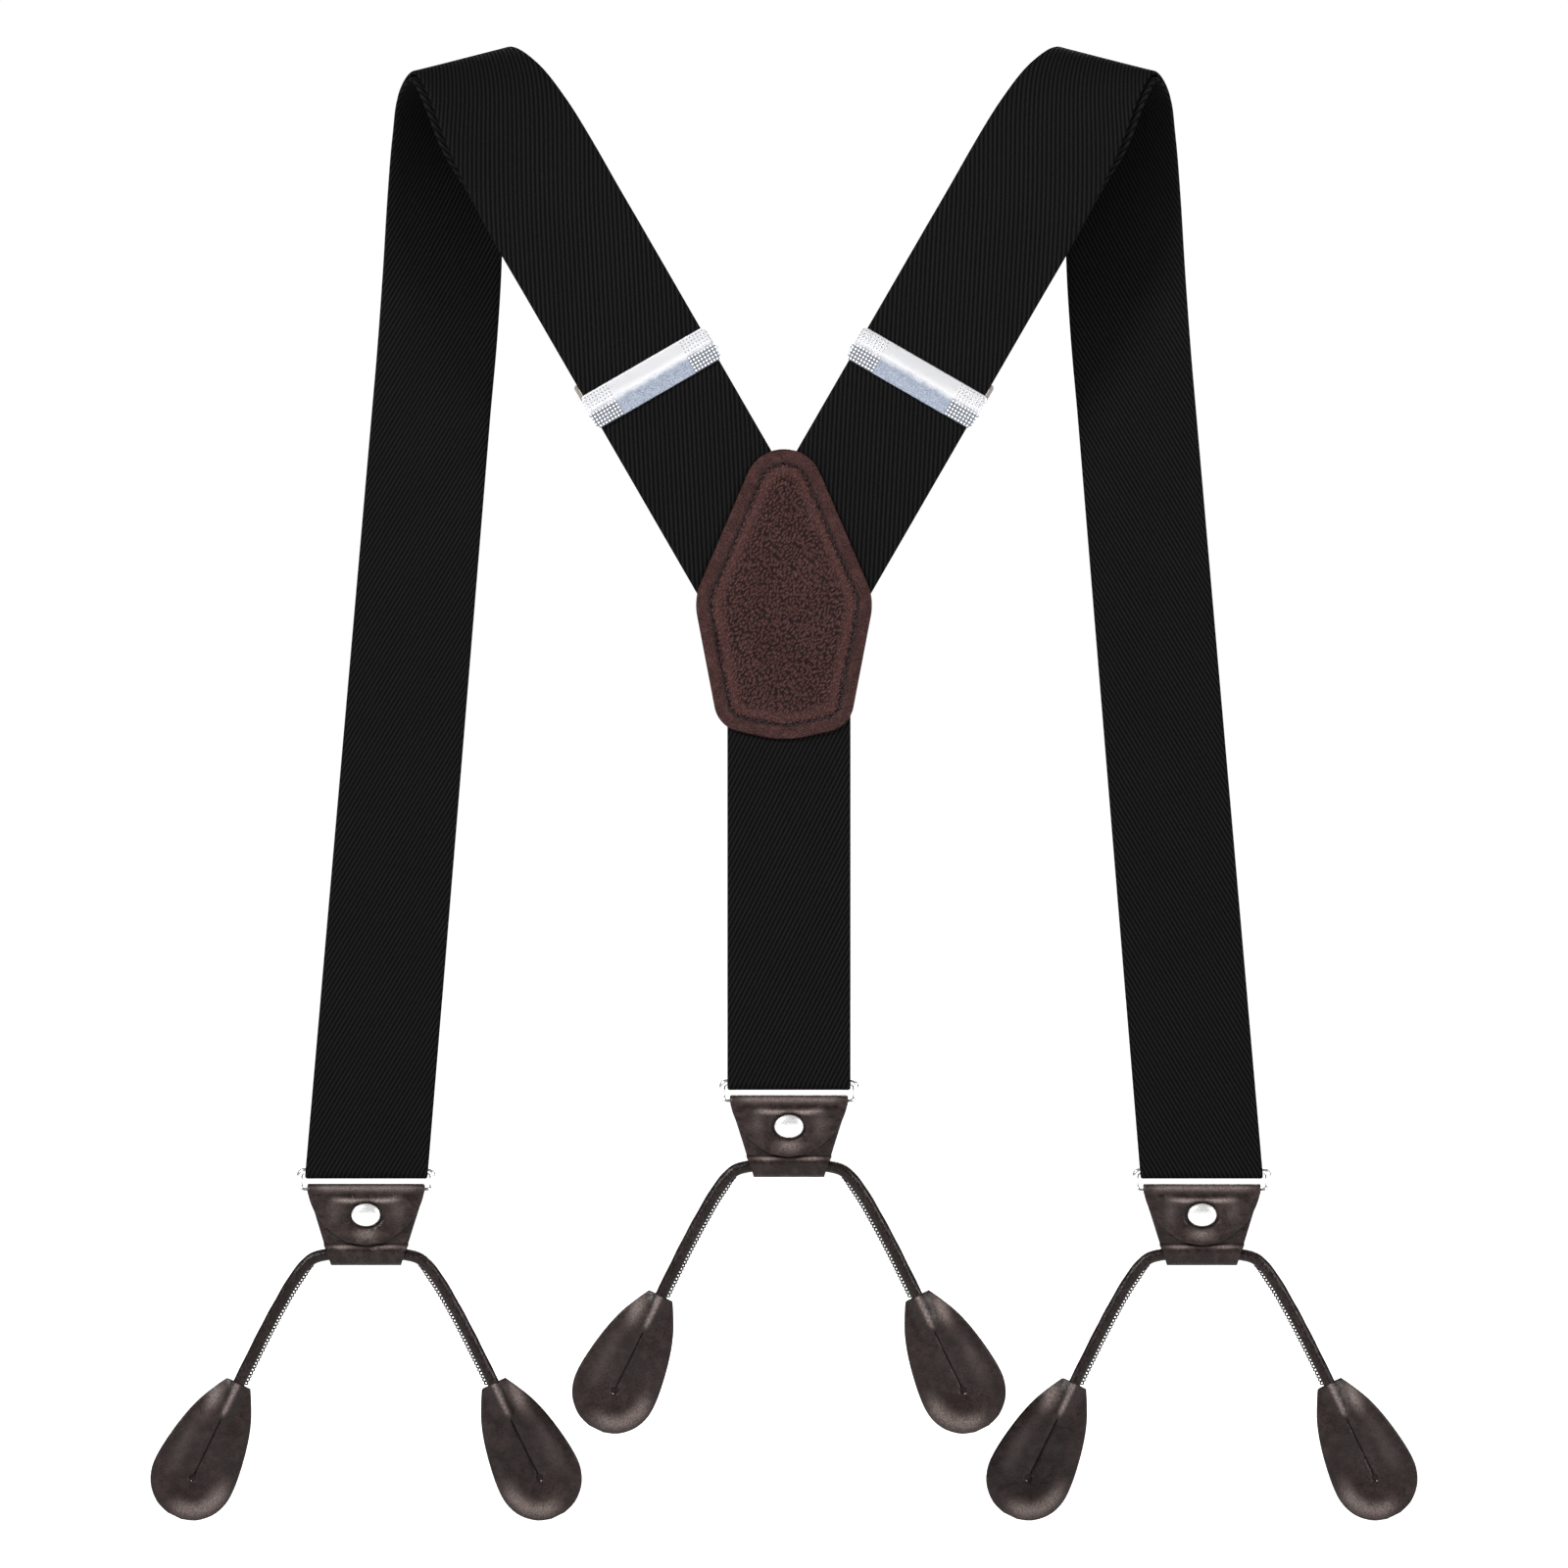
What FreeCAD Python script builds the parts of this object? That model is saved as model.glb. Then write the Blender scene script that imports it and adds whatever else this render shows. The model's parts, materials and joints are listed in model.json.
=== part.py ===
"""Y-back suspenders with leather button ends, hanging as they are worn.

Millimetres. +Z is up, +X to one side, and the back patch faces -Y. The origin lies midway
between the two shoulder folds, level with the inner crest of the webbing there.
"""
import FreeCAD
import Part
import Sketcher
import math
import os

Vector = FreeCAD.Vector
X_AXIS = Vector(1, 0, 0)
Y_AXIS = Vector(0, 1, 0)
Z_AXIS = Vector(0, 0, 1)
SIDES = {"left": -1, "right": 1}

# Driving dimensions, in millimetres and degrees.
SIZES = {
    # webbing
    "webbing_width": 34.8,
    "back_webbing_width": 38.4,
    "webbing_thickness": 1.2,
    "layer_pitch": 1.4,
    "back_plane": -9.5,
    "front_plane": 11.0,
    "back_strap_angle": 30.0,
    "fold_start_across": -57.1,
    "fold_start_height": -54.3,
    "fold_end_across": -100.3,
    "fold_end_height": -97.0,
    "fold_end_width": 33.8,
    "front_bottom_across": -118.8,
    "front_bottom_height": -315.0,
    "front_upper_end": -125.0,
    "front_loop_start": -285.0,
    "segment_gap": 0.1,
    "seam_gap": 0.2,
    "return_width": 38.0,
    "return_drop": 0.2,
    # centre strap
    "centre_across": 1.4,
    "centre_top": -164.2,
    "centre_back_top": -142.0,
    "centre_parting": -193.0,
    "centre_bottom": -289.3,
    "back_end_height": -163.0,
    # patch
    "patch_thickness": 1.2,
    "patch_raise": 1.6,
    "patch_inset": 4.6,
    "stitch_inset": 3.6,
    "stitch_width": 0.5,
    "stitch_height": 0.3,
    "patch_back_thickness": 1.0,
    "patch_clearance": 0.05,
    # adjuster
    "adjuster_height": -88.1,
    "plate_length": 40.4,
    "plate_height": 10.4,
    "plate_thickness": 0.7,
    "plate_face": 1.3,
    "plate_crown": 0.7,
    "cheek_thickness": 0.8,
    "pin_radius": 0.8,
    "pin_overhang": 0.3,
    "pivot_depth": 2.7,
    "pivot_height": -1.5,
    "barrel_radius": 1.5,
    "running_gap": 0.06,
    "lever_length": 38.2,
    "lever_thickness": 1.2,
    "tail_bar_height": 8.2,
    "tail_bar_depth": 3.1,
    "tail_bar_radius": 0.7,
    "tail_width": 37.2,
    "tail_shift": -0.5,
    "tail_top": 15.0,
    "tail_bend_inner": 1.15,
    "tail_bend_outer": 2.15,
    "slot_low": 4.4,
    "slot_margin": 0.2,
    "frame_near_half": 19.2,
    "frame_far_half": 20.3,
    "frame_start": 2.6,
    "frame_corner": 0.6,
    "frame_flare": 1.0,
    "handle_lift": 0.3,
    "tooth_pitch": 4.0,
    "tooth_width": 2.0,
    "tooth_reach": 0.35,
    "plate_corner": 1.2,
    # ring
    "ring_width": 39.6,
    "ring_wire": 1.8,
    "ring_bar_spacing": 5.6,
    "ring_corner": 1.5,
    "ring_bore_gap": 0.05,
    # leather tab, measured from the ring's lower bar
    "leather": 1.1,
    "tab_top_width": 33.6,
    "tab_bottom_width": 24.0,
    "tab_waist_height": -14.9,
    "flap_side_height": -6.3,
    "flap_side_half": 14.4,
    "flap_bottom": -14.9,
    "sleeve_height": -17.4,
    "sleeve_length": 20.0,
    "core_bottom_half": 11.5,
    "sleeve_radius": 2.65,
    "core_thickness": 1.8,
    "core_top": -3.2,
    "back_ply_overlap": 0.4,
    "core_overlap": 0.6,
    "rivet_height": -6.8,
    "rivet_shank": 1.25,
    "rivet_cap_width": 8.2,
    "rivet_cap_height": 6.5,
    "rivet_cap_rise": 1.2,
    "rivet_back_radius": 3.3,
    "rivet_back_thickness": 0.6,
    "rivet_back_chamfer": 0.3,
    # cord and button ends
    "cord_radius": 1.7,
    "ear_tilt": 26.0,
    "ear_leaf": 1.1,
    "ear_length": 42.0,
    "ear_half_width": 12.1,
    "ear_wide_place": 29.0,
    "ear_neck_half": 3.6,
    "ear_shoulder_half": 9.9,
    "ear_shoulder_place": 13.0,
    "ridge_length": 11.0,
    "ridge_end_half": 0.6,
    "ridge_rounding": 0.55,
    "buttonhole_radius": 1.25,
    "buttonhole_place": 29.9,
    "slit_start": 11.6,
    "slit_width": 0.5,
}

# Stations of the webbing over the left shoulder: centre across, depth and height, then the
# turn of the width about +Z, its slope above level, and the width itself.
FOLD_STATIONS = [
    (-57.1, -9.5, -54.3, 0, 30.0, 38.4),
    (-64.1, -9.5, -42.2, 3, 29.5, 38.4),
    (-71.2, -9.5, -29.2, 10, 26.0, 38.4),
    (-78.2, -8.8, -16.0, 20, 21.5, 38.2),
    (-85.0, -6.0, -3.8, 33, 17.0, 37.5),
    (-91.2, 0.0, 2.2, 42, 13.5, 36.8),
    (-95.2, 5.8, -4.0, 40, 11.0, 36.4),
    (-95.9, 9.0, -17.0, 34, 7.0, 35.8),
    (-96.3, 10.6, -34.0, 25, 2.0, 35.0),
    (-97.0, 11.0, -54.0, 14, -1.0, 34.3),
    (-98.5, 11.0, -76.0, 5, -1.5, 33.9),
    (-100.3, 11.0, -97.0, 0, 0.0, 33.8),
]
INNER_FOLD_START = 2
FOLD_STEPS = 3
# half the size of a prism that reaches past the whole object on either side
PAST_EVERYTHING = 200.0

# An adjuster cheek seen along the pin, as depth behind the webbing's middle and height. Its
# first two corners lie on the plate's edge.
CHEEK_EDGE = [4.9, -4.9]
CHEEK_OUTLINE = [(4.6, -3.6), (4.6, 0.4), (1.5, 3.4)]
CHEEK_FOOT = (3.0, -4.6)
# how near the plate's long edges an upright edge must lie to be one of its corners
PLATE_EDGE_REACH = 0.3
TOOTH_COUNT = 9
TOOTH_ROOT = 0.4
TOOTH_HEIGHTS = (-0.9, -0.1, 0.3, 0.9)

# The cord's route from the mouth of its sleeve to the neck of the button end on the side of
# +X, as across and height from the sleeve's axis.
CORD_ROUTE = [(13.2, 0.0), (19.0, -5.0), (26.0, -17.0), (31.86, -28.4), (36.2, -37.3)]
# the share of the shorter run beside a corner that the corner's arc takes up
CORNER_SHARE = 0.45

# Half of the patch's outline as (half width, height, corner radius), from the top down.
PATCH_OUTLINE = [(0.0, -91.1, 11.1), (25.5, -150.5, 16.0), (18.6, -186.6, 8.5), (0.0, -190.9, 30.0)]

doc = FreeCAD.newDocument("Suspenders")
sheet = doc.addObject("Spreadsheet::Sheet", "Sizes")
for row, (alias, value) in enumerate(SIZES.items(), start=1):
    sheet.set(f"A{row}", alias)
    sheet.set(f"B{row}", str(value))
    sheet.setAlias(f"B{row}", alias)
doc.recompute()

subparts = []


def size(alias):
    return float(getattr(sheet, alias))


def bind(thing, property_name, expression):
    thing.setExpression(property_name, expression)


# ---------------------------------------------------------------- sketches and bodies


def new_body(label):
    body = doc.addObject("PartDesign::Body", label)
    body.Label = label
    subparts.append(body)
    return body


def new_sketch(body, role, name, offset=0.0):
    """A sketch on one of the body's own origin planes, moved along the plane's normal."""
    sketch = body.newObject("Sketcher::SketchObject", f"{body.Name}_{name}")
    plane = next(f for f in body.Origin.OriginFeatures if f.Role == role)
    sketch.AttachmentSupport = [(plane, "")]
    sketch.MapMode = "FlatFace"
    sketch.AttachmentOffset = FreeCAD.Placement(Vector(0, 0, offset), FreeCAD.Rotation())
    return sketch


def place_point(sketch, geometry, end, axis, coordinate):
    """Hold one coordinate of a sketch point at an expression or a number."""
    bound = isinstance(coordinate, str)
    value = float(sketch.evalExpression(coordinate)) if bound else float(coordinate)
    if abs(value) < 1e-9 and not bound:
        line = -2 if axis == "X" else -1
        sketch.addConstraint(Sketcher.Constraint("PointOnObject", geometry, end, line))
        return
    if value < 0:
        numbers = (geometry, end, -1, 1, -value)
        expression = f"-({coordinate})"
    else:
        numbers = (-1, 1, geometry, end, value)
        expression = coordinate
    index = sketch.addConstraint(Sketcher.Constraint(f"Distance{axis}", *numbers))
    if bound:
        sketch.setExpression(f"Constraints[{index}]", expression)


def outline(sketch, corners):
    """Close a profile through corners (u, v); (u, v, mid_u, mid_v) arrives there by an arc."""
    points = []
    for corner in corners:
        values = [float(sketch.evalExpression(c)) if isinstance(c, str) else float(c) for c in corner]
        points.append(values)
    count = len(points)
    indices = []
    for i in range(count):
        start = Vector(points[i - 1][0], points[i - 1][1], 0)
        end = Vector(points[i][0], points[i][1], 0)
        if len(points[i]) == 4:
            middle = Vector(points[i][2], points[i][3], 0)
            arc = Part.Arc(start, middle, end)
            index = sketch.addGeometry(arc, False)
            at_end = 2 if sketch.getPoint(index, 2).distanceToPoint(end) < 1e-6 else 1
            centre = sketch.getPoint(index, 3)
            upright = abs(end.y - start.y) > abs(end.x - start.x)
            held = ("X", centre.x) if upright else ("Y", centre.y)
            place_point(sketch, index, 3, *held)
        else:
            index = sketch.addGeometry(Part.LineSegment(start, end), False)
            at_end = 2
        indices.append((index, at_end))
    for i, corner in enumerate(corners):
        index, at_end = indices[i]
        following, following_end = indices[(i + 1) % count]
        joint = ("Coincident", index, at_end, following, 3 - following_end)
        sketch.addConstraint(Sketcher.Constraint(*joint))
        place_point(sketch, index, at_end, "X", corner[0])
        place_point(sketch, index, at_end, "Y", corner[1])


def circle(sketch, u, v, radius_expression):
    radius = float(sketch.evalExpression(radius_expression))
    index = sketch.addGeometry(Part.Circle(Vector(u, v, 0), Z_AXIS, radius), False)
    constraint = sketch.addConstraint(Sketcher.Constraint("Radius", index, radius))
    sketch.setExpression(f"Constraints[{constraint}]", radius_expression)
    place_point(sketch, index, 3, "X", u)
    place_point(sketch, index, 3, "Y", v)


def extrude(body, sketch, kind, length, symmetric=False, reverse=False, through=False):
    """Add a Pad or a Pocket of the sketch; length is an expression or a number."""
    feature = body.newObject(f"PartDesign::{kind}", f"{sketch.Name}_{kind}")
    feature.Profile = sketch
    feature.SideType = "Symmetric" if symmetric else "One side"
    feature.Reversed = reverse
    if through:
        feature.Type = "ThroughAll"
    elif isinstance(length, str):
        feature.Length = float(sketch.evalExpression(length))
        bind(feature, "Length", length)
    else:
        feature.Length = length
    doc.recompute()
    return feature


def edges_along(shape, direction, where):
    """Names of straight edges parallel to the direction whose middle passes the test."""
    names = []
    for number, edge in enumerate(shape.Edges, start=1):
        if edge.Curve.TypeId != "Part::GeomLine":
            continue
        if abs(abs(edge.tangentAt(edge.FirstParameter).dot(direction)) - 1) > 1e-4:
            continue
        if where(edge.CenterOfMass):
            names.append(f"Edge{number}")
    return names


def round_edges(body, base, names, radius):
    fillet = body.newObject("PartDesign::Fillet", f"{body.Name}_fillet{len(body.Group)}")
    fillet.Base = (base, names)
    fillet.Radius = float(sheet.evalExpression(radius)) if isinstance(radius, str) else radius
    if isinstance(radius, str):
        bind(fillet, "Radius", radius)
    doc.recompute()
    return fillet


def tilted(origin, degrees):
    """A placement turned about +Y, so that local X runs across a slanted strap."""
    return FreeCAD.Placement(Vector(*origin), FreeCAD.Rotation(Y_AXIS, degrees))


def plain_part(label, shape):
    """A sub-part whose shape is worked out here from the sheet's sizes."""
    feature = doc.addObject("Part::Feature", label)
    feature.Label = label
    feature.Shape = shape
    subparts.append(feature)
    return feature


def mirrored(shape, side):
    """Shapes are worked out for the left side; the right side is their mirror image."""
    return shape if side < 0 else shape.mirror(Vector(0, 0, 0), X_AXIS)


# ---------------------------------------------------------------- webbing


def section(station, tangent, inset):
    """The rectangle of webbing at a station, inset from the outer layer along its normal."""
    across, depth, height, turn, slope, width = station
    turn, slope = math.radians(turn), math.radians(slope)
    side = Vector(math.cos(slope) * math.cos(turn), math.cos(slope) * math.sin(turn), math.sin(slope))
    normal = side.cross(tangent)
    normal.normalize()
    middle = Vector(across, depth, height) - normal * inset
    half_width = side * (width / 2)
    half_thickness = normal * (size("webbing_thickness") / 2)
    corners = [
        middle - half_width - half_thickness,
        middle + half_width - half_thickness,
        middle + half_width + half_thickness,
        middle - half_width + half_thickness,
    ]
    return Part.makePolygon(corners + corners[:1])


def between(before, start, end, after, share):
    """A station part of the way from start to end, on a smooth curve through all four."""
    values = []
    for a, b, c, d in zip(before, start, end, after):
        bend = 2 * a - 5 * b + 4 * c - d
        twist = 3 * b - a - 3 * c + d
        values.append(0.5 * (2 * b + (c - a) * share + bend * share**2 + twist * share**3))
    return tuple(values)


def smooth_stations(stations, steps):
    """The stations with further ones between them, steps to a span."""
    dense = []
    last = len(stations) - 1
    for i in range(last):
        around = (stations[max(i - 1, 0)], stations[i], stations[i + 1], stations[min(i + 2, last)])
        dense += [between(*around, step / steps) for step in range(steps)]
    return dense + [stations[-1]]


def fold_layer(first, inset):
    """Webbing over the shoulder from the first station to the last one."""
    dense = smooth_stations(FOLD_STATIONS, FOLD_STEPS)
    wires = []
    for i in range(first * FOLD_STEPS, len(dense)):
        before, after = dense[max(i - 1, 0)], dense[min(i + 1, len(dense) - 1)]
        wires.append(section(dense[i], Vector(*after[:3]) - Vector(*before[:3]), inset))
    return Part.makeLoft(wires, True, True)


def front_centre(height):
    """Where the middle of the left front strap lies at a height."""
    low, high = size("front_bottom_height"), size("fold_end_height")
    share = (height - low) / (high - low)
    return size("front_bottom_across") * (1 - share) + size("fold_end_across") * share


def front_half_width(height):
    low, high = size("front_bottom_height"), size("fold_end_height")
    share = (height - low) / (high - low)
    return (size("webbing_width") * (1 - share) + size("fold_end_width") * share) / 2


def front_outline(top, bottom):
    """The slanted front strap between two heights, as a prism to cut its layers from."""
    corners = []
    for height, side in ((top, -1), (top, 1), (bottom, 1), (bottom, -1)):
        across = front_centre(height) + side * front_half_width(height)
        corners.append(Vector(across, -PAST_EVERYTHING, height))
    return Part.Face(Part.makePolygon(corners + corners[:1])).extrude(Y_AXIS * 2 * PAST_EVERYTHING)


def inner_layer_depth(height):
    """The middle of the front strap's inner layer, which opens out towards the ring."""
    low = size("front_bottom_height") + hairpin_radius() + size("webbing_thickness") / 2
    high = size("fold_end_height")
    share = (height - low) / (high - low)
    at_ring = size("front_plane") - 2 * hairpin_radius()
    return at_ring * (1 - share) + (size("front_plane") - size("layer_pitch")) * share


def hairpin_radius():
    """Radius of the middle of the webbing where it turns round a ring's bar."""
    return size("ring_wire") / 2 + size("ring_bore_gap") + size("webbing_thickness") / 2


def layer_profile(top, bottom, depth_at_top, depth_at_bottom):
    """One layer of webbing seen along X, between two heights."""
    half = size("webbing_thickness") / 2
    corners = [
        Vector(-PAST_EVERYTHING, depth_at_top - half, top),
        Vector(-PAST_EVERYTHING, depth_at_top + half, top),
        Vector(-PAST_EVERYTHING, depth_at_bottom + half, bottom),
        Vector(-PAST_EVERYTHING, depth_at_bottom - half, bottom),
    ]
    return Part.Face(Part.makePolygon(corners + corners[:1])).extrude(X_AXIS * 2 * PAST_EVERYTHING)


def front_layers(top, bottom):
    """Both layers of the left front strap between two heights."""
    plane = size("front_plane")
    outer = layer_profile(top, bottom, plane, plane)
    inner = layer_profile(top, bottom, inner_layer_depth(top), inner_layer_depth(bottom))
    prism = front_outline(top, bottom)
    return [outer.common(prism).Solids[0], inner.common(prism).Solids[0]]


def front_loop():
    """The end of the left front strap: down, round the ring's upper bar, and up again."""
    top, bottom = size("front_loop_start"), size("front_bottom_height")
    turn = bottom + hairpin_radius() + size("webbing_thickness") / 2
    plane = size("front_plane")
    half = size("webbing_thickness") / 2
    reach = 2 * PAST_EVERYTHING
    middle = Vector(-PAST_EVERYTHING, plane - hairpin_radius(), turn)
    outer_circle = Part.makeCylinder(hairpin_radius() + half, reach, middle, X_AXIS)
    inner_circle = Part.makeCylinder(hairpin_radius() - half, reach, middle, X_AXIS)
    above = Part.makeBox(reach, reach, reach, Vector(-PAST_EVERYTHING, -PAST_EVERYTHING, turn))
    bend = outer_circle.cut(inner_circle).cut(above)
    outer = layer_profile(top, turn, plane, plane)
    inner = layer_profile(top, turn, inner_layer_depth(top), plane - 2 * hairpin_radius())
    whole = outer.fuse([bend, inner]).removeSplitter()
    return whole.common(front_outline(top, bottom)).Solids[0]


def back_webbing(name, side):
    """The flat outer layer from the patch up to the shoulder fold, cut on the mitre."""
    body = new_body(f"{name}_back_webbing")
    start = Vector(side * -size("fold_start_across"), size("back_plane"), size("fold_start_height"))
    body.Placement = tilted(start, side * size("back_strap_angle"))
    angle = math.radians(size("back_strap_angle"))
    half = size("back_webbing_width") / 2
    seam = size("seam_gap")
    # the inner edge meets the seam at x = 0 and the outer edge meets the cut end
    inner_run = (-size("fold_start_across") - half * math.cos(angle) - seam) / math.sin(angle)
    drop = size("fold_start_height") - size("back_end_height")
    outer_run = (drop - half * math.sin(angle)) / math.cos(angle)
    seam_height = size("fold_start_height") + half * math.sin(angle) - inner_run * math.cos(angle)
    seam_length = seam_height - size("back_end_height")
    seam_corner = (half - seam_length * math.sin(angle), -inner_run - seam_length * math.cos(angle))
    sketch = new_sketch(body, "XZ_Plane", "outline")
    edge = "Sizes.back_webbing_width / 2"
    corners = [
        (f"{side} * {edge}", 0),
        (f"{-side} * {edge}", 0),
        (f"{-side} * {edge}", -inner_run),
        (-side * seam_corner[0], seam_corner[1]),
        (f"{side} * {edge}", -outer_run),
    ]
    outline(sketch, corners)
    extrude(body, sketch, "Pad", "Sizes.webbing_thickness", symmetric=True)


def centre_webbing():
    """The centre strap: two layers that part below the patch to turn round the ring's bar."""
    body = new_body("centre_webbing")
    half = size("webbing_thickness") / 2
    front = size("back_plane")
    ring_depth = front + hairpin_radius()
    turn = size("centre_bottom") + hairpin_radius() + half
    back_low = ring_depth + hairpin_radius()
    back_high = front + size("layer_pitch")
    top, back_top, parting = "Sizes.centre_top", "Sizes.centre_back_top", "Sizes.centre_parting"
    corners = [
        (front + half, top),
        (front - half, top),
        (front - half, turn),
        (back_low + half, turn, ring_depth, turn - hairpin_radius() - half),
        (back_high + half, parting),
        (back_high + half, back_top),
        (back_high - half, back_top),
        (back_high - half, parting),
        (back_low - half, turn),
        (front + half, turn, ring_depth, turn - hairpin_radius() + half),
    ]
    sketch = new_sketch(body, "YZ_Plane", "profile")
    outline(sketch, corners)
    extrude(body, sketch, "Pad", "Sizes.webbing_width", symmetric=True)
    body.Placement = FreeCAD.Placement(Vector(size("centre_across"), 0, 0), FreeCAD.Rotation())


def side_webbing(name, side):
    back_webbing(name, side)
    layers = [fold_layer(0, 0.0), fold_layer(INNER_FOLD_START, size("layer_pitch"))]
    plain_part(f"{name}_shoulder_fold", mirrored(Part.makeCompound(layers), side))
    gap = size("segment_gap")
    cuts = [
        ("front_upper_webbing", size("fold_end_height") - gap, size("front_upper_end")),
        ("front_webbing", size("front_upper_end") - gap, size("front_loop_start")),
    ]
    for part, top, bottom in cuts:
        layers = front_layers(top, bottom + gap)
        plain_part(f"{name}_{part}", mirrored(Part.makeCompound(layers), side))
    plain_part(f"{name}_front_loop", mirrored(front_loop(), side))
    plain_part(f"{name}_return_webbing", mirrored(return_webbing(), side))


def adjuster_origin(side):
    """The middle of the adjuster, on the outer layer's middle plane."""
    slant = math.tan(math.radians(size("back_strap_angle")))
    drop = size("fold_start_height") - size("adjuster_height")
    across = size("fold_start_across") + drop * slant
    return (-side * across, size("back_plane"), size("adjuster_height"))


def return_webbing():
    """The left inner layer, from the shoulder fold down to the loop on the adjuster's lever."""
    start = FOLD_STATIONS[INNER_FOLD_START]
    angle = math.radians(size("back_strap_angle"))
    up = Vector(-math.sin(angle), 0, math.cos(angle))
    across = Vector(math.cos(angle), 0, math.sin(angle))
    origin = Vector(*adjuster_origin(-1))
    end = origin + up * (size("tail_top") + size("seam_gap"))
    end += Y_AXIS * size("tail_bar_depth") + across * size("tail_shift")
    flat = FOLD_STATIONS[0]
    middle = Vector(*flat[:3]) + Y_AXIS * (size("layer_pitch") + size("return_drop"))
    before, after = FOLD_STATIONS[INNER_FOLD_START - 1], FOLD_STATIONS[INNER_FOLD_START + 1]
    top = section(start, Vector(*after[:3]) - Vector(*before[:3]), size("layer_pitch"))
    nearer = section(FOLD_STATIONS[1], up, size("layer_pitch"))
    straight = (middle.x, middle.y, middle.z, 0, flat[4], size("return_width"))
    last = (end.x, end.y, end.z, 0, flat[4], size("tail_width"))
    wires = [section(last, up, 0.0), section(straight, up, 0.0), nearer, top]
    return Part.makeLoft(wires, True, True)


# ---------------------------------------------------------------- patch


def patch_wire(inset, depth):
    """The patch's rounded outline at a depth, inset from its edge."""
    other_side = [(-half, height, radius) for half, height, radius in reversed(PATCH_OUTLINE[1:-1])]
    corners = PATCH_OUTLINE + other_side
    edges = []
    count = len(corners)
    tangents = []
    for i in range(count):
        point = Vector(corners[i][0], depth, corners[i][1])
        before = Vector(corners[i - 1][0], depth, corners[i - 1][1]) - point
        after = Vector(corners[(i + 1) % count][0], depth, corners[(i + 1) % count][1]) - point
        half_angle = before.getAngle(after) / 2
        radius = corners[i][2]
        reach = radius / math.tan(half_angle)
        before.normalize()
        after.normalize()
        bisector = before + after
        bisector.normalize()
        middle = point + bisector * (radius / math.sin(half_angle) - radius)
        tangents.append((point + before * reach, middle, point + after * reach))
    for i in range(count):
        arrive, middle, leave = tangents[i]
        edges.append(Part.Arc(arrive, middle, leave).toShape())
        edges.append(Part.LineSegment(leave, tangents[(i + 1) % count][0]).toShape())
    wire = Part.Wire(edges)
    return wire.makeOffset2D(-inset) if inset else wire


def patch_slab(inset, depth, thickness):
    """A plate with the patch's outline whose front face is at the depth; it grows to +Y."""
    return Part.Face(patch_wire(inset, depth)).extrude(Y_AXIS * thickness)


def patch():
    """Leather front raised over a soft filler, thread line, and a leather back."""
    clearance = size("patch_clearance")
    seat = size("back_plane") - size("webbing_thickness") / 2 - clearance
    leather = size("patch_thickness")
    rim = patch_slab(0, seat - leather, leather)
    crown = patch_slab(size("patch_inset"), seat - leather - size("patch_raise"), size("patch_raise"))
    hollow = patch_slab(size("patch_inset") + leather, seat - size("patch_raise"), size("patch_raise"))
    plain_part("patch_front", rim.fuse(crown).cut(hollow).removeSplitter())
    plain_part("patch_filler", hollow)
    thread_face = seat - leather - size("stitch_height")
    outer = patch_slab(size("stitch_inset"), thread_face, size("stitch_height"))
    inner = patch_slab(size("stitch_inset") + size("stitch_width"), thread_face, size("stitch_height"))
    plain_part("patch_stitching", outer.cut(inner))
    back_face = size("back_plane") + size("layer_pitch") + size("webbing_thickness") / 2 + clearance
    plain_part("patch_back", patch_slab(0, back_face, size("patch_back_thickness")))


# ---------------------------------------------------------------- adjusters


def adjuster_plate(name, side):
    """The arched front plate with a cheek turned back at each end."""
    body = new_body(f"{name}_adjuster_plate")
    body.Placement = tilted(adjuster_origin(side), side * size("back_strap_angle"))
    edge, crown = -size("plate_face"), -size("plate_face") - size("plate_crown")
    skin = size("plate_thickness")
    high, low = "Sizes.plate_height / 2", "-Sizes.plate_height / 2"
    corners = [
        (edge + skin, low),
        (edge + skin, high, crown + skin, 0),
        (edge, high),
        (edge, low, crown, 0),
    ]
    sketch = new_sketch(body, "YZ_Plane", "arch")
    outline(sketch, corners)
    extrude(body, sketch, "Pad", "Sizes.plate_length", symmetric=True)
    upper, lower = CHEEK_EDGE
    cheek = [(edge, lower), (edge, upper), *reversed(CHEEK_OUTLINE), CHEEK_FOOT]
    start = size("plate_length") / 2 - size("cheek_thickness")
    for number, flip in enumerate((1, -1)):
        sketch = new_sketch(body, "YZ_Plane", f"cheek{number}", offset=flip * start)
        outline(sketch, cheek)
        extrude(body, sketch, "Pad", "Sizes.cheek_thickness", reverse=flip < 0)
    sketch = new_sketch(body, "YZ_Plane", "pin_hole")
    circle(sketch, size("pivot_depth"), size("pivot_height"), "Sizes.pin_radius")
    hole = extrude(body, sketch, "Pocket", 0, symmetric=True, through=True)
    rim = size("plate_height") / 2
    corners = edges_along(hole.Shape, Y_AXIS, lambda p: abs(abs(p.z) - rim) < PLATE_EDGE_REACH)
    body.Tip = round_edges(body, hole, corners, "Sizes.plate_corner")


def adjuster_pin(name, side):
    body = new_body(f"{name}_adjuster_pin")
    body.Placement = tilted(adjuster_origin(side), side * size("back_strap_angle"))
    sketch = new_sketch(body, "YZ_Plane", "section")
    circle(sketch, size("pivot_depth"), size("pivot_height"), "Sizes.pin_radius")
    extrude(body, sketch, "Pad", "Sizes.plate_length + 2 * Sizes.pin_overhang", symmetric=True)


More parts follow.
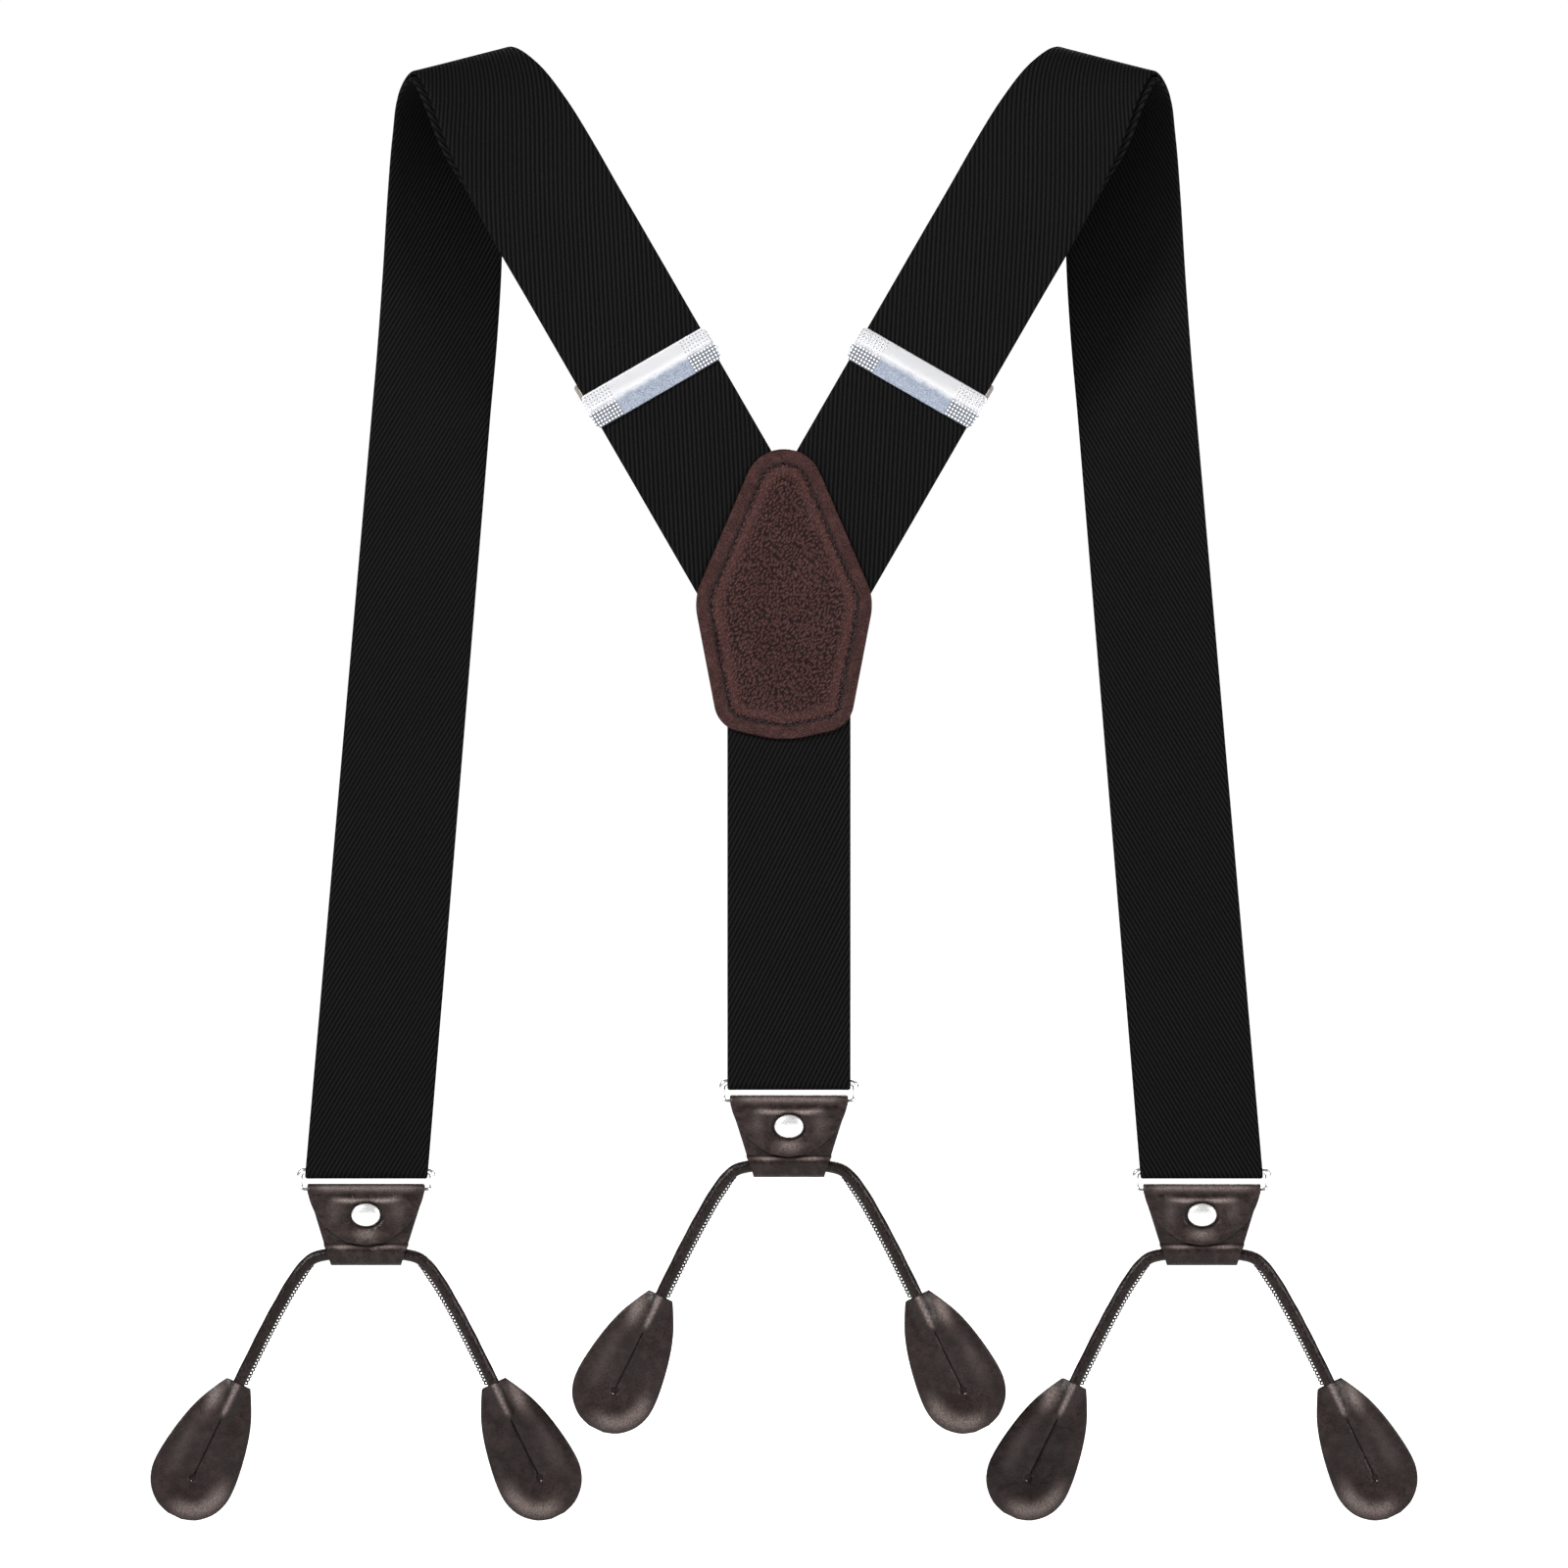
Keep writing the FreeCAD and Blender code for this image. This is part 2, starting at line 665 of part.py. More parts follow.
def adjuster_lever(name, side):
    """A toothed barrel on the pin, with a handle that ends in a slotted frame for the tail."""
    body = new_body(f"{name}_adjuster_lever")
    body.Placement = tilted(adjuster_origin(side), side * size("back_strap_angle"))
    depth, height = size("pivot_depth"), size("pivot_height")
    sketch = new_sketch(body, "YZ_Plane", "barrel")
    circle(sketch, depth, height, "Sizes.barrel_radius")
    extrude(body, sketch, "Pad", "Sizes.lever_length", symmetric=True)
    # the handle, wider above the cheeks, and the slot that leaves the tail's bar
    half = size("lever_length") / 2
    slot_low, bar_low = size("slot_low"), size("tail_bar_height") - size("tail_bar_radius")
    top, bevel = size("tail_bar_height") + size("tail_bar_radius"), size("frame_corner")
    outer, inner = side * size("frame_far_half"), -side * size("frame_near_half")
    wide_from = size("frame_start")
    behind = depth + size("handle_lift") + size("lever_thickness") / 2
    sketch = new_sketch(body, "XZ_Plane", "handle", offset=-behind)
    corners = [
        (side * half, height),
        (side * half, wide_from),
        (outer, wide_from + size("frame_flare")),
        (outer, top - bevel),
        (outer - side * bevel, top),
        (inner + side * bevel, top),
        (inner, top - bevel),
        (inner, height),
    ]
    outline(sketch, corners)
    extrude(body, sketch, "Pad", "Sizes.lever_thickness")
    slot_middle = -side * size("tail_shift")
    slot_half = size("tail_width") / 2 + size("slot_margin")
    sketch = new_sketch(body, "XZ_Plane", "slot")
    slot = [(slot_middle - slot_half, slot_low), (slot_middle + slot_half, slot_low)]
    slot += [(slot_middle + slot_half, bar_low), (slot_middle - slot_half, bar_low)]
    outline(sketch, slot)
    extrude(body, sketch, "Pocket", 0, symmetric=True, through=True)
    # a row of teeth along the barrel, facing the webbing
    row_length = size("tooth_pitch") * (TOOTH_COUNT - 1)
    first_place = -row_length / 2 - size("tooth_width") / 2
    sketch = new_sketch(body, "YZ_Plane", "tooth", offset=first_place)
    face = depth - size("barrel_radius")
    depths = (face + TOOTH_ROOT, face - size("tooth_reach"), face - size("tooth_reach"), face + TOOTH_ROOT)
    outline(sketch, [(deep, height + rise) for deep, rise in zip(depths, TOOTH_HEIGHTS)])
    first_tooth = extrude(body, sketch, "Pad", "Sizes.tooth_width")
    pattern = body.newObject("PartDesign::LinearPattern", f"{name}_teeth")
    pattern.Originals = [first_tooth]
    x_line = next(f for f in body.Origin.OriginFeatures if f.Role == "X_Axis")
    pattern.Direction = (x_line, [""])
    pattern.Length = row_length
    pattern.Occurrences = TOOTH_COUNT
    body.Tip = pattern
    doc.recompute()
    sketch = new_sketch(body, "YZ_Plane", "bore")
    circle(sketch, depth, height, "Sizes.pin_radius + Sizes.running_gap")
    body.Tip = extrude(body, sketch, "Pocket", 0, symmetric=True, through=True)


def webbing_tail(name, side):
    """The end of the return layer, sewn back on itself round the lever's end bar."""
    body = new_body(f"{name}_webbing_tail")
    x, y, z = adjuster_origin(side)
    shift = -side * size("tail_shift")
    angle = math.radians(size("back_strap_angle"))
    origin = (x + shift * math.cos(angle), y, z - side * shift * math.sin(angle))
    body.Placement = tilted(origin, side * size("back_strap_angle"))
    depth = size("tail_bar_depth")
    inner, outer = size("tail_bend_inner"), size("tail_bend_outer")
    turn = size("tail_bar_height")
    top = "Sizes.tail_top"
    corners = [
        (depth - inner, top),
        (depth - outer, top),
        (depth - outer, turn),
        (depth + outer, turn, depth, turn - outer),
        (depth + outer, top),
        (depth + inner, top),
        (depth + inner, turn),
        (depth - inner, turn, depth, turn - inner),
    ]
    sketch = new_sketch(body, "YZ_Plane", "profile")
    outline(sketch, corners)
    extrude(body, sketch, "Pad", "Sizes.tail_width", symmetric=True)


# ---------------------------------------------------------------- rings, tabs and button ends


def tab_origins():
    """The lower bar of each ring: across, depth and height."""
    below = hairpin_radius() + size("webbing_thickness") / 2 - size("ring_bar_spacing")
    front_depth = size("front_plane") - hairpin_radius()
    back_depth = size("back_plane") + hairpin_radius()
    front_height = size("front_bottom_height") + below
    return {
        "left": (size("front_bottom_across"), front_depth, front_height),
        "right": (-size("front_bottom_across"), front_depth, front_height),
        "centre": (size("centre_across"), back_depth, size("centre_bottom") + below),
    }


def ring(name, origin):
    """A rectangular wire ring with tightly rounded corners, from bars and quarter bends."""
    wire = size("ring_wire") / 2
    half = size("ring_width") / 2 - wire
    corner = size("ring_corner")
    spacing = size("ring_bar_spacing")
    pieces = []
    for height in (0, spacing):
        bar = doc.addObject("Part::Cylinder", f"{name}_ring_bar")
        bind(bar, "Radius", "Sizes.ring_wire / 2")
        bind(bar, "Height", "Sizes.ring_width - Sizes.ring_wire - 2 * Sizes.ring_corner")
        bar.Placement = FreeCAD.Placement(Vector(corner - half, 0, height), FreeCAD.Rotation(Y_AXIS, 90))
        pieces.append(bar)
    for side in (-1, 1):
        post = doc.addObject("Part::Cylinder", f"{name}_ring_end")
        bind(post, "Radius", "Sizes.ring_wire / 2")
        bind(post, "Height", "Sizes.ring_bar_spacing - 2 * Sizes.ring_corner")
        post.Placement = FreeCAD.Placement(Vector(side * half, 0, corner), FreeCAD.Rotation())
        pieces.append(post)
    turns = [(1, 1, 0), (-1, 1, 90), (-1, -1, 180), (1, -1, 270)]
    for across, up, start in turns:
        bend = doc.addObject("Part::Torus", f"{name}_ring_bend")
        bind(bend, "Radius1", "Sizes.ring_corner")
        bind(bend, "Radius2", "Sizes.ring_wire / 2")
        bend.Angle3 = 90
        height = spacing - corner if up > 0 else corner
        upright = FreeCAD.Rotation(X_AXIS, 90).multiply(FreeCAD.Rotation(Z_AXIS, start))
        bend.Placement = FreeCAD.Placement(Vector(across * (half - corner), 0, height), upright)
        pieces.append(bend)
    whole = doc.addObject("Part::MultiFuse", f"{name}_ring")
    whole.Shapes = pieces
    whole.Refine = True
    whole.Label = f"{name}_ring"
    whole.Placement = FreeCAD.Placement(Vector(*origin), FreeCAD.Rotation())
    subparts.append(whole)


def tab_half_width(height):
    """Half of the tab's width, which tapers from the ring to the sleeve."""
    share = height / size("tab_waist_height")
    return (size("tab_top_width") * (1 - share) + size("tab_bottom_width") * share) / 2


def tab_loop(name, origin):
    """Leather over the ring's lower bar: a half-round flap in front and a ply behind."""
    body = new_body(f"{name}_tab_loop")
    body.Placement = FreeCAD.Placement(Vector(*origin), FreeCAD.Rotation())
    inner = size("ring_wire") / 2 + size("ring_bore_gap")
    outer = inner + size("leather")
    sketch = new_sketch(body, "YZ_Plane", "bend")
    corners = [(-outer, 0), (outer, 0, 0, outer), (inner, 0), (-inner, 0, 0, inner)]
    outline(sketch, corners)
    extrude(body, sketch, "Pad", "Sizes.tab_top_width", symmetric=True)
    flap = [
        ("-Sizes.tab_top_width / 2", 0),
        ("-Sizes.flap_side_half", "Sizes.flap_side_height"),
        ("Sizes.flap_side_half", "Sizes.flap_side_height", 0, "Sizes.flap_bottom"),
        ("Sizes.tab_top_width / 2", 0),
    ]
    sketch = new_sketch(body, "XZ_Plane", "flap", offset=inner)
    outline(sketch, flap)
    extrude(body, sketch, "Pad", "Sizes.leather")
    bottom = size("tab_waist_height") + size("back_ply_overlap")
    back = [
        ("-Sizes.tab_top_width / 2", 0),
        (-tab_half_width(bottom), bottom),
        (tab_half_width(bottom), bottom),
        ("Sizes.tab_top_width / 2", 0),
    ]
    sketch = new_sketch(body, "XZ_Plane", "back", offset=-inner)
    outline(sketch, back)
    extrude(body, sketch, "Pad", "Sizes.leather", reverse=True)
    sketch = new_sketch(body, "XZ_Plane", "rivet_hole")
    circle(sketch, 0, size("rivet_height"), "Sizes.rivet_shank")
    body.Tip = extrude(body, sketch, "Pocket", 0, symmetric=True, through=True)


def tab_sleeve(name, origin):
    """Leather folded round the cord, its two plies riveted between the flap and the back."""
    body = new_body(f"{name}_tab_sleeve")
    body.Placement = FreeCAD.Placement(Vector(*origin), FreeCAD.Rotation())
    sketch = new_sketch(body, "XZ_Plane", "plies")
    top, bottom = size("core_top"), size("tab_waist_height") - size("core_overlap")
    wide, narrow = tab_half_width(top), size("core_bottom_half")
    corners = [(-wide, top), (-narrow, bottom), (narrow, bottom), (wide, top)]
    outline(sketch, corners)
    extrude(body, sketch, "Pad", "Sizes.core_thickness", symmetric=True)
    sketch = new_sketch(body, "YZ_Plane", "tube")
    circle(sketch, 0, size("sleeve_height"), "Sizes.sleeve_radius")
    extrude(body, sketch, "Pad", "Sizes.sleeve_length", symmetric=True)
    sketch = new_sketch(body, "YZ_Plane", "cord_hole")
    circle(sketch, 0, size("sleeve_height"), "Sizes.cord_radius + Sizes.running_gap")
    extrude(body, sketch, "Pocket", 0, symmetric=True, through=True)
    sketch = new_sketch(body, "XZ_Plane", "rivet_hole")
    circle(sketch, 0, size("rivet_height"), "Sizes.rivet_shank")
    body.Tip = extrude(body, sketch, "Pocket", 0, symmetric=True, through=True)


def rivet(name, origin):
    """A domed cap in front, and a shank with a washer head behind."""
    face = size("ring_wire") / 2 + size("ring_bore_gap") + size("leather")
    x, y, z = origin
    centre = Vector(x, y - face, z + size("rivet_height"))
    cap = doc.addObject("Part::Ellipsoid", f"{name}_rivet_cap")
    cap.Label = f"{name}_rivet_cap"
    bind(cap, "Radius1", "Sizes.rivet_cap_rise")
    bind(cap, "Radius2", "Sizes.rivet_cap_width / 2")
    bind(cap, "Radius3", "Sizes.rivet_cap_height / 2")
    cap.Angle1 = 0
    cap.Angle2 = 90
    cap.Placement = FreeCAD.Placement(centre, FreeCAD.Rotation(X_AXIS, 90))
    subparts.append(cap)
    body = new_body(f"{name}_rivet_base")
    body.Placement = FreeCAD.Placement(centre, FreeCAD.Rotation())
    shank, washer, bevel = size("rivet_shank"), size("rivet_back_radius"), size("rivet_back_chamfer")
    seat, end = 2 * face, 2 * face + size("rivet_back_thickness")
    sketch = new_sketch(body, "XY_Plane", "section")
    corners = [(0, 0), (0, end), (washer - bevel, end), (washer, end - bevel)]
    corners += [(washer, seat), (shank, seat), (shank, 0)]
    outline(sketch, corners)
    revolution = body.newObject("PartDesign::Revolution", f"{name}_rivet_turned")
    revolution.Profile = sketch
    revolution.ReferenceAxis = (sketch, ["V_Axis"])
    revolution.Angle = 360
    body.Tip = revolution
    doc.recompute()


def cord_path(origin):
    """Straight runs and tangent arcs from one button end, through the sleeve, to the other."""
    x, y, z = origin
    z += size("sleeve_height")
    half = [Vector(x + across, y, z + height) for across, height in CORD_ROUTE]
    other = [Vector(x - across, y, z + height) for across, height in CORD_ROUTE]
    points = list(reversed(other)) + half
    edges, radii = [], []
    start = points[0]
    for before, corner, after in zip(points, points[1:], points[2:]):
        arriving, leaving = corner - before, after - corner
        half_turn = arriving.getAngle(leaving) / 2
        reach = CORNER_SHARE * min(arriving.Length, leaving.Length)
        radii.append(reach / math.tan(half_turn))
        arriving.normalize()
        leaving.normalize()
        enter, leave = corner - arriving * reach, corner + leaving * reach
        inward = leaving - arriving
        inward.normalize()
        bulge = radii[-1] * (1 / math.cos(half_turn) - 1)
        edges.append(Part.LineSegment(start, enter).toShape())
        edges.append(Part.Arc(enter, corner + inward * bulge, leave).toShape())
        start = leave
    edges.append(Part.LineSegment(start, points[-1]).toShape())
    return Part.Wire(edges), points, radii


def cord(name, origin):
    path, points, radii = cord_path(origin)
    direction = points[1] - points[0]
    ring_edge = Part.makeCircle(size("cord_radius"), points[0], direction)
    tube = path.makePipeShell([Part.Wire(ring_edge)], True, True)
    expected = math.pi * size("cord_radius") ** 2 * path.Length
    ratio = tube.Volume / expected
    rounded = [round(radius, 1) for radius in radii]
    print(f"{name}_cord length {path.Length:.1f}, volume ratio {ratio:.4f}, arc radii {rounded}")
    plain_part(f"{name}_cord", tube)


def ear_origin(origin, side):
    across, height = CORD_ROUTE[-1]
    x, y, z = origin
    return Vector(x + side * across, y, z + size("sleeve_height") + height)


def ear_leaf(name, origin, ear_name, side, face):
    """One leather leaf of a button end; the front one is raised over the cord's end."""
    body = new_body(f"{name}_{ear_name}_ear_{'front' if face < 0 else 'back'}")
    body.Placement = tilted(ear_origin(origin, side), -side * size("ear_tilt"))
    shoulder = size("ear_shoulder_half")
    sketch = new_sketch(body, "XZ_Plane", "outline")
    corners = [
        ("-Sizes.ear_neck_half", 0),
        ("-Sizes.ear_half_width", "-Sizes.ear_wide_place", -shoulder, "-Sizes.ear_shoulder_place"),
        ("Sizes.ear_half_width", "-Sizes.ear_wide_place", 0, "-Sizes.ear_length"),
        ("Sizes.ear_neck_half", 0, shoulder, "-Sizes.ear_shoulder_place"),
    ]
    outline(sketch, corners)
    leaf = extrude(body, sketch, "Pad", "Sizes.ear_leaf", reverse=face > 0)
    if face < 0:
        sketch = new_sketch(body, "XZ_Plane", "ridge")
        lift = size("cord_radius")
        tip, end = size("ridge_end_half"), "-Sizes.ridge_length"
        ridge = [(-lift, 0), (-tip, end), (tip, end), (lift, 0)]
        outline(sketch, ridge)
        leaf = extrude(body, sketch, "Pad", "Sizes.cord_radius")
        long_edges = []
        for number, edge in enumerate(leaf.Shape.Edges, start=1):
            middle = edge.CenterOfMass
            on_top = abs(middle.y + lift) < 1e-3 and abs(middle.x) > tip / 2
            if on_top and edge.Length > size("ridge_length") / 2:
                long_edges.append(f"Edge{number}")
        round_edges(body, leaf, long_edges, "Sizes.ridge_rounding")
    sketch = new_sketch(body, "XZ_Plane", "buttonhole")
    circle(sketch, 0, -size("buttonhole_place"), "Sizes.buttonhole_radius")
    extrude(body, sketch, "Pocket", 0, symmetric=True, through=True)
    sketch = new_sketch(body, "XZ_Plane", "slit")
    half = "Sizes.slit_width / 2"
    slit = [(f"-{half}", "-Sizes.slit_start"), (half, "-Sizes.slit_start")]
    slit += [(half, "-Sizes.buttonhole_place"), (f"-{half}", "-Sizes.buttonhole_place")]
    outline(sketch, slit)
    body.Tip = extrude(body, sketch, "Pocket", 0, symmetric=True, through=True)


def tab(name, origin):
    ring(name, origin)
    tab_loop(name, origin)
    tab_sleeve(name, origin)
    rivet(name, origin)
    cord(name, origin)
    for ear_name, side in SIDES.items():
        for face in (-1, 1):
            ear_leaf(name, origin, ear_name, side, face)


# ---------------------------------------------------------------- the whole object

for side_name, side_sign in SIDES.items():
    side_webbing(side_name, side_sign)
    adjuster_plate(side_name, side_sign)
    adjuster_pin(side_name, side_sign)
    adjuster_lever(side_name, side_sign)
    webbing_tail(side_name, side_sign)
centre_webbing()
patch()
for tab_name, tab_origin in tab_origins().items():
    tab(tab_name, tab_origin)
doc.recompute()

failed = [o.Name for o in doc.Objects if "Invalid" in o.State or "Error" in o.State]
if failed:
    raise RuntimeError(f"objects failed: {failed}")
for item in subparts:
    if item.Shape.isNull() or not item.Shape.isValid() or item.Shape.Volume <= 0:
        raise RuntimeError(f"{item.Label} has a bad shape")

os.makedirs("parts", exist_ok=True)
for item in subparts:
    item.Shape.exportStep(f"parts/{item.Label}.step")
    print(f"{item.Label}: {len(item.Shape.Solids)} solid(s), {item.Shape.Volume:.1f} mm3")
print(len(subparts), "sub-parts")
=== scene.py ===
"""The looks of a pair of Y-back suspenders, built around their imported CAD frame."""

import json
import math

import bmesh
import bpy
import numpy as np
from mathutils import Matrix, Vector
from mathutils.geometry import delaunay_2d_cdt


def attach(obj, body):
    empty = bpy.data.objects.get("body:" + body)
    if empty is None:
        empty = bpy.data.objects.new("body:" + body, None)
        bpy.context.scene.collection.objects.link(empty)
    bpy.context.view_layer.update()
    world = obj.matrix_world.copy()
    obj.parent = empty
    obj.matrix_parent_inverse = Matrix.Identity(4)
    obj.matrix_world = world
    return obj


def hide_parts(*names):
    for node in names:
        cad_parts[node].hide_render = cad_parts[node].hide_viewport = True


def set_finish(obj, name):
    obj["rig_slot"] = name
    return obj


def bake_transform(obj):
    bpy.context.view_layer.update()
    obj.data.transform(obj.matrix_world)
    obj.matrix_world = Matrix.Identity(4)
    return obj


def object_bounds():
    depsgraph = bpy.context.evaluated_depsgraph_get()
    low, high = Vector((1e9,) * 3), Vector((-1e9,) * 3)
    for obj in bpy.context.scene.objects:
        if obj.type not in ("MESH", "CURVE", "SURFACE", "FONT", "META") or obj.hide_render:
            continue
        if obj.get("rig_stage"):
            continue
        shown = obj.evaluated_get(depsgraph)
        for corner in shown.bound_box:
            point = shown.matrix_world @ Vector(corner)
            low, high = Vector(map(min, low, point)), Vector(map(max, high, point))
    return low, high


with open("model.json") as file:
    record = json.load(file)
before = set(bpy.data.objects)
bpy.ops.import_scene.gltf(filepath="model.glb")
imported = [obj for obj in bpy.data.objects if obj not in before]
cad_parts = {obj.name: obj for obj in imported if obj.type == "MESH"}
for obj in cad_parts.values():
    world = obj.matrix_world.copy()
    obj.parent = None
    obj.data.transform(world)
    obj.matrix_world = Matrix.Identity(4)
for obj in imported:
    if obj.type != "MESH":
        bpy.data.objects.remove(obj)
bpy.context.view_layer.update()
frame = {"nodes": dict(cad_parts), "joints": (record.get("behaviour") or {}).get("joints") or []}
MM = 0.001

# ---------------------------------------------------------------- sizes, in millimetres and degrees

WEBBING = {"thickness": 1.2, "pitch": 1.4, "width": 34.8, "back_plane": -9.5, "front_plane": 11.0}
FOLD_STATIONS = [  # middle across, depth and height, turn about +Z, slope, width
    (-57.1, -9.5, -54.3, 0, 30.0, 38.4),
    (-64.1, -9.5, -42.2, 3, 29.5, 38.4),
    (-71.2, -9.5, -29.2, 10, 26.0, 38.4),
    (-78.2, -8.8, -16.0, 20, 21.5, 38.2),
    (-85.0, -6.0, -3.8, 33, 17.0, 37.5),
    (-91.2, 0.0, 2.2, 42, 13.5, 36.8),
    (-95.2, 5.8, -4.0, 40, 11.0, 36.4),
    (-95.9, 9.0, -17.0, 34, 7.0, 35.8),
    (-96.3, 10.6, -34.0, 25, 2.0, 35.0),
    (-97.0, 11.0, -54.0, 14, -1.0, 34.3),
    (-98.5, 11.0, -76.0, 5, -1.5, 33.9),
    (-100.3, 11.0, -97.0, 0, 0.0, 33.8),
]
INNER_FOLD_START = 2  # the station that the inner layer starts from
FOLD_STEPS = 8
HAIRPIN = 1.55  # half the distance between the layers at the ring
EDGE_PEEP = 1.5  # how far the inner layer stands out past the outer one
FRONT_TOP, FRONT_SPLIT, FRONT_LOOP, FRONT_BOTTOM = -97.0, -125.05, -285.0, -315.0
FRONT_TOP_ACROSS, FRONT_BOTTOM_ACROSS = -100.3, -118.8
TAIL_WIDTH, TAIL_DEPTH, TAIL_SHIFT = 37.2, 3.1, 0.5
TAIL_SEAMS, TAIL_SEAM_HALF = (11.6, 13.4), 17.5
BACK_ANGLE = math.radians(30)
BACK_END, BACK_RUN = -163.0, 150  # the diagonals' lower cut, and the run that reaches past it
MITRE_GAP = 0.1  # from the middle to each diagonal's mitred end
CENTRE = {"across": 1.4, "top": -164.2, "back_top": -142.0, "parting": -193.0, "bottom": -289.3}
# the patch: half width, height and corner radius, from the top down
PATCH_OUTLINE = [(0.0, -91.1, 11.1), (25.5, -150.5, 16.0), (18.6, -186.6, 8.5), (0.0, -190.9, 30.0)]
# the cord from the middle of its sleeve to one button end, across and height, in metres
CORD_ROUTE = [(0.0, 0.0), (0.0132, 0.0), (0.0190, -0.0050), (0.0260, -0.0170), (0.03186, -0.0284),
              (0.0362, -0.0373)]
CORD_RADIUS = 1.7
EAR_TILT = math.radians(26)
EAR_DISH = 1.3

# the adjuster's face and its two fields of raised squares
PLATE_HALF, PLATE_HALF_HEIGHT, PLATE_MARGIN = 20.2, 5.2, 0.6
PIN_BELOW, PIN_BEHIND = 1.5, 2.7  # the lever's pin, from the middle of the plate
PLATE_THICKNESS, PLATE_CORNER, PLATE_LIP, PLATE_BULGE = 0.7, 1.3, 0.3, 0.7
CHEEK_THICKNESS = 0.8
DOT_COLUMNS, DOT_ROWS, DOT_PITCH = 8, 10, 1.0

SIDES = {"left": -1, "right": 1}
TABS = ("left", "right", "centre")
joints = {joint["name"]: joint for joint in frame["joints"]}


def joint_place(name):
    return Vector(joints[name]["pos_m"]) / MM


def deep(depth):
    return Vector((0, depth, 0))


# ---------------------------------------------------------------- camera

FRAME_ACROSS, CAMERA_HEIGHT = 444.4, -202.8
camera_data = bpy.data.cameras.new("camera")
camera_data.lens, camera_data.sensor_width = 250, 36
camera = bpy.data.objects.new("camera", camera_data)
bpy.context.scene.collection.objects.link(camera)
camera_distance = FRAME_ACROSS * camera_data.lens / camera_data.sensor_width
camera.location = Vector((0, -camera_distance, CAMERA_HEIGHT)) * MM
camera.rotation_euler = (math.radians(90), 0, 0)
camera_data.clip_start, camera_data.clip_end = 0.05, 100
bpy.context.scene.camera = camera

# ---------------------------------------------------------------- materials


class Material:
    """A node material with short ways to add nodes; values may be numbers, colours or sockets."""

    def __init__(self, name, **shader):
        self.material = bpy.data.materials.new(name)
        self.material.use_nodes = True
        self.tree = self.material.node_tree
        self.shader = self.tree.nodes["Principled BSDF"]
        for key, value in shader.items():
            self.shader.inputs[key.replace("_", " ")].default_value = value

    def node(self, kind, inputs=(), output=0, **settings):
        made = self.tree.nodes.new(kind)
        for key, value in settings.items():
            setattr(made, key, value)
        for key, value in dict(inputs).items():
            self.feed(made.inputs[key], value)
        return made.outputs[output]

    def feed(self, socket, value):
        if isinstance(value, bpy.types.NodeSocket):
            self.tree.links.new(value, socket)
        else:
            socket.default_value = value

    def math(self, operation, first, second=0.0, third=0.0):
        return self.node("ShaderNodeMath", {0: first, 1: second, 2: third}, operation=operation)

    def plus(self, first, second):
        return self.math("ADD", first, second)

    def less(self, first, second):
        return self.math("SUBTRACT", first, second)

    def times(self, first, second):
        return self.math("MULTIPLY", first, second)

    def split(self, value):
        made = self.tree.nodes.new("ShaderNodeSeparateXYZ")
        self.feed(made.inputs[0], value)
        return made.outputs

    def spot(self):
        return self.node("ShaderNodeTexCoord", output=3)

    def weave(self):
        return self.node("ShaderNodeUVMap", uv_map="weave")

    def mix(self, share, first, second):
        made = self.tree.nodes.new("ShaderNodeMix")
        made.data_type = "RGBA"
        for key, value in ((0, share), (6, first), (7, second)):
            self.feed(made.inputs[key], value)
        return made.outputs[2]

    def ramp(self, value, low, high):
        return self.node("ShaderNodeMapRange", {0: value, 1: low, 2: high}, interpolation_type="SMOOTHSTEP")

    def noise(self, place, scale, detail=3.0, roughness=0.5):
        inputs = {"Vector": place, "Scale": scale, "Detail": detail, "Roughness": roughness}
        return self.node("ShaderNodeTexNoise", inputs)

    def bump(self, height, distance, strength=1.0, normal=None):
        inputs = {"Height": height, "Distance": distance, "Strength": strength}
        if normal is not None:
            inputs["Normal"] = normal
        return self.node("ShaderNodeBump", inputs)

    def set(self, **values):
        for key, value in values.items():
            self.feed(self.shader.inputs[key.replace("_", " ")], value)
        return self.material


def rgb(red, green, blue):
    return (red, green, blue, 1.0)


def scaled(colour, factor):
    return rgb(*(part * factor for part in colour[:3]))


def webbing_material():
    """Black twill: slanting ribs of yarn, laid out in the strap's own across and along."""
    made = Material("webbing", Specular_IOR_Level=0.025)
    place = made.weave()
    across, along, _ = made.split(place)
    slant, pitch, yarn_pitch = math.radians(27), 1.15 * MM, 0.6 * MM
    rib_place = made.less(made.times(across, math.cos(slant) / pitch),
                          made.times(along, math.sin(slant) / pitch))
    yarn_place = made.plus(made.times(across, math.sin(slant) / yarn_pitch),
                           made.times(along, math.cos(slant) / yarn_pitch))
    wobble = made.noise(place, 900.0, 2.0)
    rib_phase = made.plus(rib_place, made.times(wobble, 0.16))
    rib = made.math("SINE", made.times(rib_phase, 2 * math.pi))
    step = made.times(made.math("FLOOR", rib_phase), 0.37)
    yarn = made.math("SINE", made.times(made.plus(yarn_place, step), 2 * math.pi))
    height = made.plus(rib, made.times(yarn, 0.25))
    tone = made.ramp(height, -1.1, 1.15)
    cloud = made.noise(place, 60.0, 3.0)
    light = made.mix(cloud, rgb(0.0056, 0.0056, 0.0058), rgb(0.0076, 0.0075, 0.0077))
    colour = made.mix(tone, rgb(0.0016, 0.0016, 0.0016), light)
    return made.set(Base_Color=colour, Roughness=made.node("ShaderNodeMapRange", {0: tone, 3: 0.95, 4: 0.72}),
                    Normal=made.bump(height, 0.00009, 0.8))


